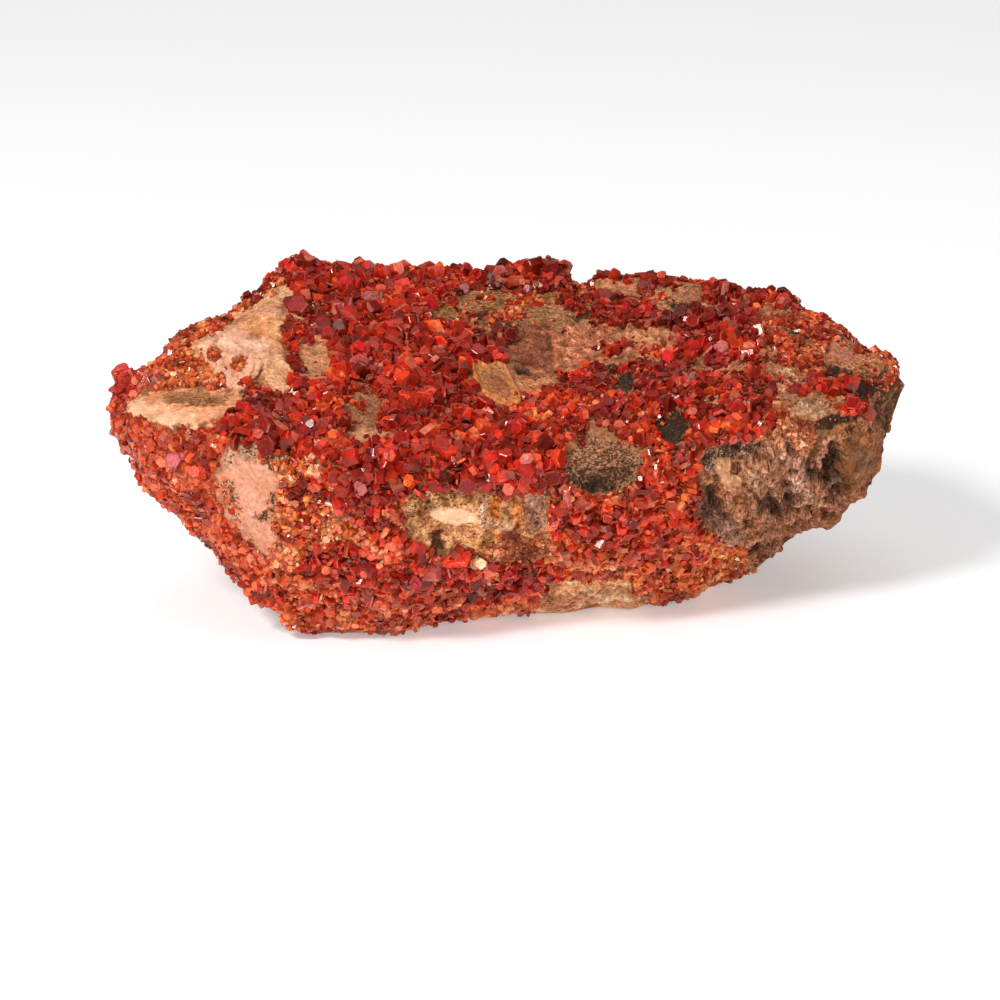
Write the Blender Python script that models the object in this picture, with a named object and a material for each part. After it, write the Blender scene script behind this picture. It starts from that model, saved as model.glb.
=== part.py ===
"""Vanadinite druse on its host rock, hand-specimen size.

A loaf-shaped lump of broken brown host rock, about 150 mm long, carries fields
of intergrown six-sided vanadinite crystals.  The rock is lofted from outlines
read along its long axis: the back edge of the top, the middle of the top, the
brow where the top turns down, the belly of the front, and the foot.  Each
druse field is a crust that lies on the rock and reaches the crystal tips, with
standing crystals joined into it.  Crystals that stand out singly, the thin
tan shell, the loose flake and the limonite patches are pieces of their own.

Metres, +Z up, +X along the length (left to right seen from the front), the
front faces -Y.  Origin: bottom centre of the whole specimen.
"""
import bpy
import bmesh
import math
import numpy as np
from mathutils import Matrix, Vector, noise

for ob in list(bpy.data.objects):
    bpy.data.objects.remove(ob, do_unlink=True)

# ----------------------------------------------------------------- dimensions
UNITS_PER_M = 5320.0      # outline units to the metre at the middle of the rock
SIGHT_TILT = math.radians(20.0)   # the outlines are read looking down at 20 degrees
SIGHT_DISTANCE = 0.7832   # metres from the eye to the middle of the rock
SIGHT_X = -0.0008         # the line of sight passes here
SIGHT_Z = 0.0179
OUTLINE_MID = 500.0       # outline reading on the line of sight, both ways

LEFT_END = -0.0722        # ends of the rock along X
RIGHT_END = 0.0752
STATIONS = 33             # cross-sections along X
TOP_CELLS, FRONT_CELLS, FOOT_CELLS, BACK_CELLS = 10, 7, 4, 7

FIT_GAP = 0.0003          # between pieces that touch
FLOOR_CLEAR = 0.00025     # crusts end just above the resting plane

ORIGIN_X, ORIGIN_Y = 0.00012, 0.00392   # where the middle of the whole specimen's footprint falls in the outlines' axes

MM = 0.001

# ------------------------------------------------------- outlines, hand-read
# rows: reading across, reading down, depth Y in mm
BACK_EDGE = [(112, 392, -6), (122, 379, -4), (147, 371, 0), (165, 357, 3), (181, 338, 7), (207, 324, 13),
             (232, 311, 19), (258, 294, 25), (282, 275, 30), (302, 268, 33), (345, 271, 36), (393, 272, 38),
             (442, 269, 39), (480, 277, 39), (520, 269, 39), (560, 271, 38), (600, 281, 37), (645, 282, 36),
             (690, 287, 34), (750, 295, 31), (787, 297, 28), (810, 309, 25), (845, 331, 19), (864, 349, 15),
             (890, 363, 9), (902, 378, 5)]
TOP_MIDDLE = [(110, 396, -6), (133, 394, -9), (160, 391, -10), (200, 388, -11), (230, 384, -10), (270, 371, -5),
              (320, 362, 0), (400, 358, 2), (500, 362, 2), (600, 366, 2), (700, 364, 1), (760, 362, 0),
              (810, 363, 0), (850, 366, -1), (885, 374, -1), (901, 382, 2)]
BROW = [(109, 401, -7), (133, 419, -17), (160, 424, -22), (200, 431, -27), (250, 447, -31), (300, 458, -33),
        (350, 462, -34), (400, 466, -34), (450, 472, -34), (500, 478, -33), (550, 476, -32), (600, 468, -30),
        (650, 462, -29), (700, 448, -27), (750, 436, -25), (800, 425, -22), (840, 415, -18), (870, 405, -13),
        (890, 396, -6), (902, 383, -1)]
BELLY = [(110, 406, -8), (130, 437, -16), (160, 468, -21), (200, 494, -26), (250, 524, -30), (300, 550, -33),
         (350, 562, -34), (400, 562, -34), (450, 556, -32), (500, 550, -30), (550, 548, -28), (600, 546, -27),
         (650, 540, -25), (700, 522, -22), (750, 500, -19), (800, 480, -17), (840, 465, -14), (870, 445, -9),
         (889, 418, -4), (901, 388, 0)]
FOOT_FRONT = [(112, 412, -8), (124, 436, -12), (140, 472, -14), (155, 494, -16), (175, 510, -17), (190, 526, -19),
              (215, 548, -21), (238, 582, -23), (262, 598, -24), (290, 619, -25), (320, 632, -22), (345, 632, -22),
              (390, 632, -22), (430, 624, -18), (480, 613, -13), (520, 611, -12), (560, 612, -12), (600, 606, -9),
              (630, 608, -10), (650, 602, -7), (690, 595, -4), (705, 583, 0), (725, 577, 2), (750, 569, 1),
              (772, 554, -1), (803, 531, -4), (831, 518, -5), (850, 504, -4), (870, 487, -3), (881, 458, -2),
              (888, 430, -1), (898, 394, 1), (901, 390, 2)]
# rows: X in mm, depth Y in mm, height Z in mm
FOOT_BACK = [(-72.2, -4, 33.5), (-68, -1, 29), (-60, 4, 20), (-50, 10, 10), (-41, 15, 3), (-34, 18, 0), (-20, 21, 0),
             (0, 23, 0), (20, 22, 0), (33, 20, 0), (40, 18, 1.5), (50, 14, 7), (60, 9, 15), (68, 6, 23),
             (73, 4, 31), (75.2, 3, 38)]
BACK_BULGE = [(-72.2, 0.2), (-60, 1.5), (-40, 3.5), (-10, 4.5), (20, 4.0), (45, 3.0), (65, 1.5), (75.2, 0.2)]


def on_sight_line(across, down, depth):
    """Point where the sight line through an outline reading meets the plane Y = depth (mm)."""
    y = depth * MM
    s, c = math.sin(SIGHT_TILT), math.cos(SIGHT_TILT)
    k = (OUTLINE_MID - down) / (UNITS_PER_M * SIGHT_DISTANCE)
    h = (k * (SIGHT_DISTANCE + y * c) - y * s) / (c + k * s)
    far = SIGHT_DISTANCE + y * c - h * s
    return Vector((SIGHT_X + (across - OUTLINE_MID) / (UNITS_PER_M * SIGHT_DISTANCE) * far, y, SIGHT_Z + h))


def smooth_curve(keys, values):
    """Monotone cubic through (keys, values): never swings past its points."""
    keys, values = np.asarray(keys, float), np.asarray(values, float)
    step = np.diff(keys)
    slope = np.diff(values) / step
    tangent = np.zeros(len(keys))
    for i in range(1, len(keys) - 1):
        if slope[i - 1] * slope[i] > 0.0:
            a, b = 2 * step[i] + step[i - 1], step[i] + 2 * step[i - 1]
            tangent[i] = (a + b) / (a / slope[i - 1] + b / slope[i])
    tangent[0], tangent[-1] = slope[0], slope[-1]

    def at(x):
        x = np.clip(x, keys[0], keys[-1])
        i = np.clip(np.searchsorted(keys, x) - 1, 0, len(step) - 1)
        t = (x - keys[i]) / step[i]
        return ((1 + 2 * t) * (1 - t) ** 2 * values[i] + t * (1 - t) ** 2 * step[i] * tangent[i]
                + t * t * (3 - 2 * t) * values[i + 1] + t * t * (t - 1) * step[i] * tangent[i + 1])
    return at


def outline_curve(rows):
    points = sorted(((p.x, p.y, p.z) for p in (on_sight_line(*r) for r in rows)), key=lambda p: p[0])
    clean = [points[0]]
    for p in points[1:]:
        if p[0] - clean[-1][0] > 0.0006:
            clean.append(p)
    x, y, z = zip(*clean)
    return smooth_curve(x, y), smooth_curve(x, z)


def plain_curve(rows):
    x = [r[0] * MM for r in rows]
    return [smooth_curve(x, [r[i] * MM for r in rows]) for i in range(1, len(rows[0]))]


back_edge = outline_curve(BACK_EDGE)
top_middle = outline_curve(TOP_MIDDLE)
brow = outline_curve(BROW)
belly = outline_curve(BELLY)
foot_front = outline_curve(FOOT_FRONT)
foot_back = plain_curve(FOOT_BACK)
back_bulge = plain_curve(BACK_BULGE)[0]

# stations of the ring's control points, as fractions of the way round
RING = (0.0, 0.09, 0.18, 0.27, 0.335, 0.36, 0.385, 0.48, 0.56, 0.60, 0.68, 0.76, 0.83, 0.90, 0.96, 1.0)


def ring_points(x):
    """Control points of the cross-section at x, from the back edge over the top, down the front, round the foot."""
    s, m, c, b, f = [Vector((float(g[0](x)), float(g[1](x)))) for g in (back_edge, top_middle, brow, belly, foot_front)]
    e = Vector((float(foot_back[0](x)), float(foot_back[1](x))))
    if f.y < 0.0009:
        f.y = 0.0
    bulge = float(back_bulge(x))
    hump = 0.0012 * min(1.0, max(0.0, (0.075 - abs(x)) / 0.012))
    back = Vector((max(s.x, e.x) + bulge, 0.55 * s.y + 0.45 * e.y))
    points = [s,
              s.lerp(m, 0.5) + Vector((0, hump)),
              m,
              m.lerp(c, 0.5) + Vector((0, hump)),
              m.lerp(c, 0.88) + Vector((0, hump * 0.8)),
              c,
              c.lerp(b, 0.12) + Vector((-hump * 0.5, 0)),
              b,
              b.lerp(f, 0.62) + Vector((-hump * 0.8, 0)),
              f,
              Vector((0.5 * (f.x + e.x), min(f.y, e.y) if min(f.y, e.y) > 0 else 0.0)),
              e,
              e.lerp(back, 0.5) + Vector((bulge * 0.5, 0)),
              back,
              back.lerp(s, 0.62) + Vector((bulge * 0.35, 0)),
              s]
    return points


def section(x, around):
    points = ring_points(x)
    y = smooth_curve(RING, [p.x for p in points])
    z = smooth_curve(RING, [p.y for p in points])
    return y(around), z(around)


def ring_fractions(top, front, foot, back):
    return np.concatenate([np.linspace(0.0, 0.36, top + 1)[:-1], np.linspace(0.36, 0.60, front + 1)[:-1],
                           np.linspace(0.60, 0.76, foot + 1)[:-1], np.linspace(0.76, 1.0, back + 1)[:-1]])


def station_positions(count):
    t = np.linspace(0.0, 1.0, count)
    eased = 0.5 - 0.5 * np.cos(math.pi * t)
    mix = 0.55 * t + 0.45 * eased
    return LEFT_END + (RIGHT_END - LEFT_END) * mix


def roughness(p, fade):
    """Broken-rock unevenness, in metres along the surface normal."""
    a = noise.noise(p * 62.0 + Vector((3.1, 7.7, 1.9)))
    b = noise.noise(p * 150.0 + Vector((9.2, 0.4, 5.3)))
    return (0.0011 * a + 0.0006 * b) * fade


def rock_grid(offset=0.0, stations=STATIONS):
    """Ring-by-ring points of the rock, moved out along its normals by offset."""
    around = ring_fractions(TOP_CELLS, FRONT_CELLS, FOOT_CELLS, BACK_CELLS)
    xs = station_positions(stations)
    grid = np.zeros((len(xs), len(around), 3))
    for i, x in enumerate(xs):
        y, z = section(x, around)
        grid[i, :, 0], grid[i, :, 1], grid[i, :, 2] = x, y, z
    # outward normals from the grid itself
    across = np.gradient(grid, axis=0)
    along = np.roll(grid, -1, axis=1) - np.roll(grid, 1, axis=1)
    normal = np.cross(along, across)
    length = np.linalg.norm(normal, axis=2, keepdims=True)
    normal = normal / np.maximum(length, 1e-12)
    middle = grid.mean(axis=1, keepdims=True)
    if np.sum(normal * (grid - middle)) < 0:
        normal = -normal
    for i in range(grid.shape[0]):
        for j in range(grid.shape[1]):
            p = Vector(grid[i, j])
            fade = min(1.0, max(0.0, (p.z - 0.0008) / 0.005)) * min(1.0, (i + 0.6) / 3, (grid.shape[0] - 0.4 - i) / 3)
            out = roughness(p, fade)
            moved = p + Vector(normal[i, j]) * (out + offset)
            grid[i, j] = moved
            if offset == 0.0 and p.z < 1e-6:
                grid[i, j, 2] = 0.0
    return grid


def body_from_grid(grid, ends=0.0):
    bm = bmesh.new()
    rows = [[bm.verts.new(p) for p in ring] for ring in grid]
    n = len(rows[0])
    for a, b in zip(rows, rows[1:]):
        for j in range(n):
            k = (j + 1) % n
            bm.faces.new((a[j], a[k], b[k], b[j]))
    for row, push in ((rows[0], -1.0), (rows[-1], 1.0)):
        middle = Vector((0, 0, 0))
        for v in row:
            middle += v.co
        middle /= n
        middle.x += push * (0.0007 + ends)
        tip = bm.verts.new(middle)
        for j in range(n):
            k = (j + 1) % n
            bm.faces.new((row[j], row[k], tip))
    bmesh.ops.recalc_face_normals(bm, faces=bm.faces)
    bmesh.ops.triangulate(bm, faces=bm.faces)
    me = bpy.data.meshes.new("body")
    bm.to_mesh(me)
    bm.free()
    return me


# ------------------------------------------------------------------ materials
def material(name, colour, rough, metallic=0.0):
    m = bpy.data.materials.new(name)
    m.use_nodes = True
    bsdf = m.node_tree.nodes["Principled BSDF"]
    bsdf.inputs["Base Color"].default_value = (*colour, 1.0)
    bsdf.inputs["Roughness"].default_value = rough
    bsdf.inputs["Metallic"].default_value = metallic
    m.diffuse_color = (*colour, 1.0)
    return m


ROCK = material("host_rock", (0.30, 0.17, 0.10), 0.88)
TAN = material("tan_crust", (0.55, 0.34, 0.20), 0.80)
CREAM = material("cream_flake", (0.78, 0.55, 0.42), 0.75)
OCHRE = material("ochre_granules", (0.60, 0.26, 0.06), 0.70)
SALMON = material("vanadinite_orange", (0.55, 0.11, 0.035), 0.28)
RED = material("vanadinite_red", (0.42, 0.025, 0.018), 0.20)
DEEP = material("vanadinite_deep_red", (0.28, 0.014, 0.016), 0.16)
MAUVE = material("vanadinite_mauve_lit", (0.46, 0.09, 0.09), 0.16)


# ------------------------------------------------------------- making helpers
def add_object(name, mesh, mat, parent=None):
    mesh.name = name
    mesh.materials.clear()
    mesh.materials.append(mat)
    ob = bpy.data.objects.new(name, mesh)
    bpy.context.scene.collection.objects.link(ob)
    if parent is not None:
        ob.parent = parent
    return ob


def guide(mesh):
    ob = bpy.data.objects.new("guide", mesh)
    bpy.context.scene.collection.objects.link(ob)
    ob.hide_render = True
    ob.display_type = 'WIRE'
    return ob


def combined(mesh, steps):
    """mesh after a chain of Booleans: steps are (operation, other mesh)."""
    base = guide(mesh)
    others = []
    for operation, other in steps:
        tool = guide(other)
        others.append(tool)
        mod = base.modifiers.new(operation, 'BOOLEAN')
        mod.operation = operation
        mod.solver = 'EXACT'
        mod.object = tool
    bpy.context.view_layer.update()
    shape = bpy.data.meshes.new_from_object(base.evaluated_get(bpy.context.evaluated_depsgraph_get()))
    for ob in others + [base]:
        bpy.data.objects.remove(ob, do_unlink=True)
    return shape


def volume_of(mesh):
    bm = bmesh.new()
    bm.from_mesh(mesh)
    size = bm.calc_volume(signed=True)
    bm.free()
    return size


def with_crystals(mesh, crystals):
    """mesh with each crystal joined to it, one at a time; a crystal whose join fails is turned a little and retried."""
    for crystal in crystals:
        for attempt in range(4):
            joined = combined(mesh.copy(), [('UNION', crystal.copy())])
            if volume_of(joined) > volume_of(mesh) * 1.0002:
                mesh = joined
                break
            middle = Matrix.Translation(sum((v.co for v in crystal.vertices), Vector()) / len(crystal.vertices))
            crystal.transform(middle @ Matrix.Rotation(math.radians(7 + 5 * attempt), 4, 'Y') @ middle.inverted())
    return mesh


def biggest_body(mesh):
    """Keep the largest connected body and weld slivers."""
    bm = bmesh.new()
    bm.from_mesh(mesh)
    bmesh.ops.remove_doubles(bm, verts=bm.verts, dist=0.00002)
    bmesh.ops.dissolve_degenerate(bm, edges=bm.edges, dist=0.00001)
    bmesh.ops.triangulate(bm, faces=bm.faces)
    left, groups = set(bm.faces), []
    while left:
        seed = left.pop()
        stack, group = [seed], {seed}
        while stack:
            f = stack.pop()
            for e in f.edges:
                for g in e.link_faces:
                    if g in left:
                        left.discard(g)
                        group.add(g)
                        stack.append(g)
        groups.append(group)
    groups.sort(key=lambda g: -sum(f.calc_area() for f in g))
    for group in groups[1:]:
        bmesh.ops.delete(bm, geom=list(group), context='FACES')
    out = bpy.data.meshes.new("body")
    bm.to_mesh(out)
    bm.free()
    return out


def prism_on_sight(outline, near, far):
    """Prism whose sides are sight lines through an outline, from depth near (mm) to inside the rock.

    far is one depth, or two: at the outline's highest and lowest reading, straight in between.
    """
    bm = bmesh.new()
    high, low = min(d for _, d in outline), max(d for _, d in outline)
    first, last = far if isinstance(far, tuple) else (far, far)
    front = [bm.verts.new(on_sight_line(a, d, near)) for a, d in outline]
    back = [bm.verts.new(on_sight_line(a, d, first + (last - first) * (d - high) / (low - high))) for a, d in outline]
    n = len(front)
    bm.faces.new(front)
    bm.faces.new(list(reversed(back)))
    for i in range(n):
        j = (i + 1) % n
        bm.faces.new((front[j], front[i], back[i], back[j]))
    bmesh.ops.recalc_face_normals(bm, faces=bm.faces)
    bmesh.ops.triangulate(bm, faces=bm.faces)
    me = bpy.data.meshes.new("prism")
    bm.to_mesh(me)
    bm.free()
    return me


def box_mesh(low, high):
    bm = bmesh.new()
    bmesh.ops.create_cube(bm, size=1.0)
    for v in bm.verts:
        v.co = Vector([low[i] + (v.co[i] + 0.5) * (high[i] - low[i]) for i in range(3)])
    me = bpy.data.meshes.new("box")
    bm.to_mesh(me)
    bm.free()
    return me


def hexagonal_crystal(radius, height, bevel=0.0, grow=0.0, hollow=0.0):
    """Six-sided prism about Z, its basal edges cut back by pyramid faces, with an optional sunk upper end."""
    r, h = radius + grow * 1.16, height * 0.5 + grow
    cut = min(bevel, r * 0.4)
    bm = bmesh.new()
    rings = []
    levels = [(-h, r - cut), (-h + cut * 0.8, r), (h - cut * 0.8, r), (h, r - cut)] if cut > 0 else [(-h, r), (h, r)]
    if hollow > 0.0 and grow == 0.0:
        levels += [(h, hollow * r), (h * 0.1, hollow * r * 0.55)]
    for z, q in levels:
        rings.append([bm.verts.new((q * math.cos(math.radians(60 * i)), q * math.sin(math.radians(60 * i)), z))
                      for i in range(6)])
    for a, b in zip(rings, rings[1:]):
        for i in range(6):
            j = (i + 1) % 6
            bm.faces.new((a[i], a[j], b[j], b[i]))
    bm.faces.new(list(reversed(rings[0])))
    bm.faces.new(rings[-1])
    bmesh.ops.recalc_face_normals(bm, faces=bm.faces)
    me = bpy.data.meshes.new("crystal")
    bm.to_mesh(me)
    bm.free()
    return me


def turned(tilt, heading, spin):
    """Orientation of a crystal: its six-fold axis leans by tilt towards heading, then spins about itself."""
    return (Matrix.Rotation(math.radians(heading), 4, 'Z') @ Matrix.Rotation(math.radians(tilt), 4, 'Y')
            @ Matrix.Rotation(math.radians(spin), 4, 'Z'))


# ------------------------------------------------------------------- the rock
rock_mesh = body_from_grid(rock_grid())
rock_object = add_object("host_rock", rock_mesh, ROCK)


def rock_hit(across, down):
    """Where the sight line through an outline reading first meets the rock, with the normal there.

    A reading just outside the rock is moved in towards its middle until it meets it.
    """
    bpy.context.view_layer.update()
    for step in range(40):
        a, b = on_sight_line(across, down, -90), on_sight_line(across, down, 60)
        ok, place, normal, _ = rock_object.ray_cast(a, (b - a).normalized(), distance=1.0)
        if ok:
            return place, normal
        across += (500 - across) * 0.006
        down += (450 - down) * 0.02
    return None, None


# -------------------------------------------------------------- druse fields
# Each field: name, colour, outline readings round it, how deep it reaches (mm), thickness (mm),
# and the standing crystals joined into it: across, down, radius mm, height mm, tilt, heading, spin.
FIELDS = [
    ("druse_left_flank", SALMON, [(96, 425), (132, 428), (168, 433), (205, 441), (213, 470), (214, 505), (232, 535),
                                  (262, 556), (284, 568), (288, 600), (296, 650), (250, 640), (190, 580), (120, 520)],
     -60, (-4, 2), 2.0,
     [(150, 462, 1.8, 2.4, 60, 200, 10), (166, 495, 1.6, 2.2, 80, 150, 30), (195, 482, 1.7, 2.4, 50, 260, 0),
      (205, 520, 1.8, 2.2, 70, 230, 20), (238, 560, 1.8, 2.4, 60, 250, 40), (262, 585, 2.0, 2.4, 85, 200, 10),
      (140, 440, 1.6, 2.2, 70, 240, 0)]),
    ("druse_left_tip", SALMON, [(90, 358), (128, 350), (147, 374), (142, 392), (124, 402), (122, 414), (90, 416)],
     -60, (6, 0), 1.8,
     [(119, 390, 1.8, 2.6, 70, 190, 15), (136, 372, 1.5, 2.2, 50, 230, 30)]),
    ("druse_left_shoulder", SALMON, [(152, 372), (160, 348), (184, 340), (196, 350), (206, 366), (222, 384),
                                     (210, 392), (180, 388), (156, 384)], -60, (18, 4), 1.6,
     [(172, 362, 1.5, 2.0, 40, 220, 0), (196, 376, 1.4, 2.0, 60, 300, 25)]),
    ("druse_centre", RED, [(290, 256), (296, 250), (420, 250), (470, 262), (478, 286), (466, 306), (474, 330),
                           (500, 348), (504, 360), (472, 362), (466, 374), (478, 398), (500, 410), (530, 412),
                           (556, 432), (560, 452), (556, 482), (530, 488), (470, 488), (400, 486), (330, 474),
                           (300, 456), (262, 448), (232, 446), (236, 430), (262, 408), (290, 392),
                           (292, 370), (278, 350), (280, 330), (300, 318), (296, 300)], -60, (40, -24), 2.3,
     [(334, 306, 2.2, 3.0, 70, 250, 0), (392, 300, 2.1, 2.8, 40, 200, 20), (420, 330, 2.3, 3.0, 80, 280, 35),
      (322, 345, 2.2, 2.8, 60, 230, 10), (386, 345, 2.1, 3.0, 75, 190, 50), (440, 374, 2.2, 3.0, 65, 300, 5),
      (300, 402, 2.3, 2.8, 80, 240, 25), (402, 412, 2.2, 3.0, 55, 260, 0), (452, 430, 2.3, 3.2, 85, 210, 15),
      (500, 440, 2.2, 2.8, 60, 290, 40), (352, 438, 2.1, 2.8, 70, 200, 30), (420, 464, 2.1, 2.8, 50, 250, 0),
      (452, 290, 2.0, 2.6, 60, 220, 12), (330, 400, 2.1, 2.6, 65, 280, 8)]),
    ("druse_lower_front", RED, [(280, 472), (300, 460), (330, 478), (396, 490), (400, 500), (396, 540), (428, 552),
                                (440, 557), (500, 560), (534, 560), (538, 588), (530, 622), (470, 640), (400, 652),
                                (316, 652), (300, 640), (292, 600), (286, 560), (276, 540)], -60, (-18, -12), 2.2,
     [(350, 560, 2.0, 2.8, 80, 200, 0), (410, 578, 2.1, 3.2, 70, 340, 20), (470, 585, 2.1, 2.8, 85, 270, 10),
      (335, 608, 2.0, 2.6, 60, 230, 30), (452, 605, 1.9, 2.6, 75, 300, 45), (310, 520, 1.8, 2.4, 65, 250, 15),
      (360, 512, 1.8, 2.4, 80, 220, 5)]),
    ("druse_front_right", SALMON, [(548, 494), (562, 486), (586, 494), (606, 490), (638, 480), (648, 462), (650, 446),
                                   (690, 447), (698, 470), (698, 520), (704, 560), (700, 600), (660, 622), (640, 590),
                                   (560, 584), (546, 590), (543, 560), (542, 530)], -60, (-14, 2), 2.0,
     [(584, 532, 1.7, 2.2, 70, 220, 0), (620, 562, 1.7, 2.2, 60, 280, 20), (656, 532, 1.8, 2.4, 80, 250, 10),
      (676, 500, 1.8, 2.2, 50, 300, 35), (630, 515, 1.7, 2.2, 65, 240, 25)]),
    ("druse_right_top", RED, [(584, 276), (606, 264), (636, 272), (720, 268), (800, 284), (820, 300), (842, 318),
                              (836, 336), (826, 362), (806, 366), (780, 384), (770, 400), (764, 432), (716, 442),
                              (690, 443), (686, 420), (700, 400), (660, 404), (640, 432), (604, 431), (566, 428),
                              (560, 410), (548, 388), (556, 372), (624, 370), (634, 350), (630, 330), (606, 324),
                              (584, 312)], -60, (40, -20), 2.2,
     [(620, 314, 2.0, 2.6, 60, 240, 0), (664, 330, 2.1, 2.4, 80, 200, 20), (700, 322, 1.9, 2.4, 50, 280, 10),
      (600, 402, 1.9, 2.4, 70, 300, 35), (732, 376, 1.9, 2.4, 65, 250, 15), (676, 374, 2.0, 2.6, 75, 220, 40),
      (780, 340, 1.7, 2.2, 60, 200, 5), (744, 322, 1.8, 2.4, 70, 260, 25)]),
    ("druse_right_rim", SALMON, [(846, 380), (862, 386), (894, 368), (912, 376), (898, 404), (880, 400), (850, 398),
                                 (812, 398), (794, 402), (790, 384), (806, 376), (826, 374)], -60, (6, -4), 1.6,
     [(836, 388, 1.6, 2.2, 70, 250, 15), (892, 384, 1.3, 1.9, 60, 330, 0)]),
    ("druse_foot_right", SALMON, [(706, 534), (738, 540), (754, 556), (744, 572), (712, 590), (704, 580)],
     -60, (-2, 8), 1.5,
     [(722, 552, 1.3, 1.8, 70, 240, 0)]),
]
FIELD_BACK = 0.0365   # the fields of the top end here, where the field behind the back edge begins

crust_outer_cache = {}


def crust_shell(thickness):
    if thickness not in crust_outer_cache:
        crust_outer_cache[thickness] = body_from_grid(rock_grid(thickness), ends=thickness)
    return crust_outer_cache[thickness].copy()


gap_body = body_from_grid(rock_grid(FIT_GAP), ends=FIT_GAP)
floor_cutter = box_mesh((-0.12, -0.12, -0.02), (0.12, 0.12, FLOOR_CLEAR))
back_cutter = box_mesh((-0.12, FIELD_BACK, -0.02), (0.12, 0.12, 0.12))

pieces = {}
for name, mat, outline, near, far, thick, crystals in FIELDS:
    shape = combined(prism_on_sight(outline, near, far),
                     [('INTERSECT', crust_shell(thick * MM)), ('DIFFERENCE', back_cutter.copy())])
    adds = []
    for across, down, radius, height, tilt, heading, spin in crystals:
        place, normal = rock_hit(across, down)
        if place is None:
            continue
        seat = place + normal * (thick * 0.85 * MM)
        crystal = hexagonal_crystal(radius * MM, height * MM)
        crystal.transform(Matrix.Translation(seat) @ turned(tilt, heading, spin))
        adds.append(crystal)
    shape = with_crystals(shape, adds)
    shape = combined(shape, [('DIFFERENCE', gap_body.copy()), ('DIFFERENCE', floor_cutter.copy())])
    pieces[name] = [shape, mat]

# ------------------------------------------------- the druse behind the back edge
back_box = [("druse_back_rim", RED, (-0.044, FIELD_BACK + 2 * FIT_GAP, 0.034), (0.032, 0.070, 0.080), 2.1,
             [(-30, 43, 41, 1.8, 2.4, 70, 90, 10), (-12, 45, 38, 2.0, 2.4, 60, 60, 0), (8, 45, 42, 1.9, 2.6, 80, 100, 30),
              (24, 43, 37, 1.8, 2.2, 65, 120, 20)])]
for name, mat, low, high, thick, crystals in back_box:
    shape = combined(box_mesh(low, high), [('INTERSECT', crust_shell(thick * MM))])
    adds = []
    for x, y, z, radius, height, tilt, heading, spin in crystals:
        start = Vector((x * MM, 0.12, z * MM))
        ok, place, normal, _ = rock_object.ray_cast(start, Vector((0, -1, 0)), distance=1.0)
        if not ok:
            continue
        crystal = hexagonal_crystal(radius * MM, height * MM)
        crystal.transform(Matrix.Translation(place + normal * (thick * 0.85 * MM)) @ turned(tilt, heading, spin))
        adds.append(crystal)
    shape = with_crystals(shape, adds)
    shape = combined(shape, [('DIFFERENCE', gap_body.copy())])
    pieces[name] = [shape, mat]

# -------------------------------------- thin crusts and flakes of other minerals
# name, colour, outline, far depth (mm), thickness (mm)
CRUSTS = [
    ("tan_shell", TAN, [(474, 366), (486, 364), (500, 366), (512, 372), (520, 384), (523, 402), (514, 405),
                        (500, 398), (486, 388), (476, 376)], 20, 1.9),
    ("cream_flake", CREAM, [(229, 378), (240, 366), (256, 360), (270, 364), (266, 380), (252, 390), (232, 391)], 20, 1.3),
    ("ochre_crust", OCHRE, [(484, 546), (514, 540), (540, 542), (541, 554), (516, 555), (484, 555)], 0, 1.3),
    ("limonite_patch", OCHRE, [(778, 421), (796, 416), (814, 424), (815, 444), (803, 452), (790, 444)], 0, 1.4),
    ("cream_patch", CREAM, [(716, 462), (732, 457), (740, 466), (746, 482), (734, 491), (720, 476)], 0, 1.1),
]
for name, mat, outline, far, thick in CRUSTS:
    shape = combined(prism_on_sight(outline, -60, far),
                     [('INTERSECT', crust_shell(thick * MM)), ('DIFFERENCE', gap_body.copy())])
    pieces[name] = [shape, mat]

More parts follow.
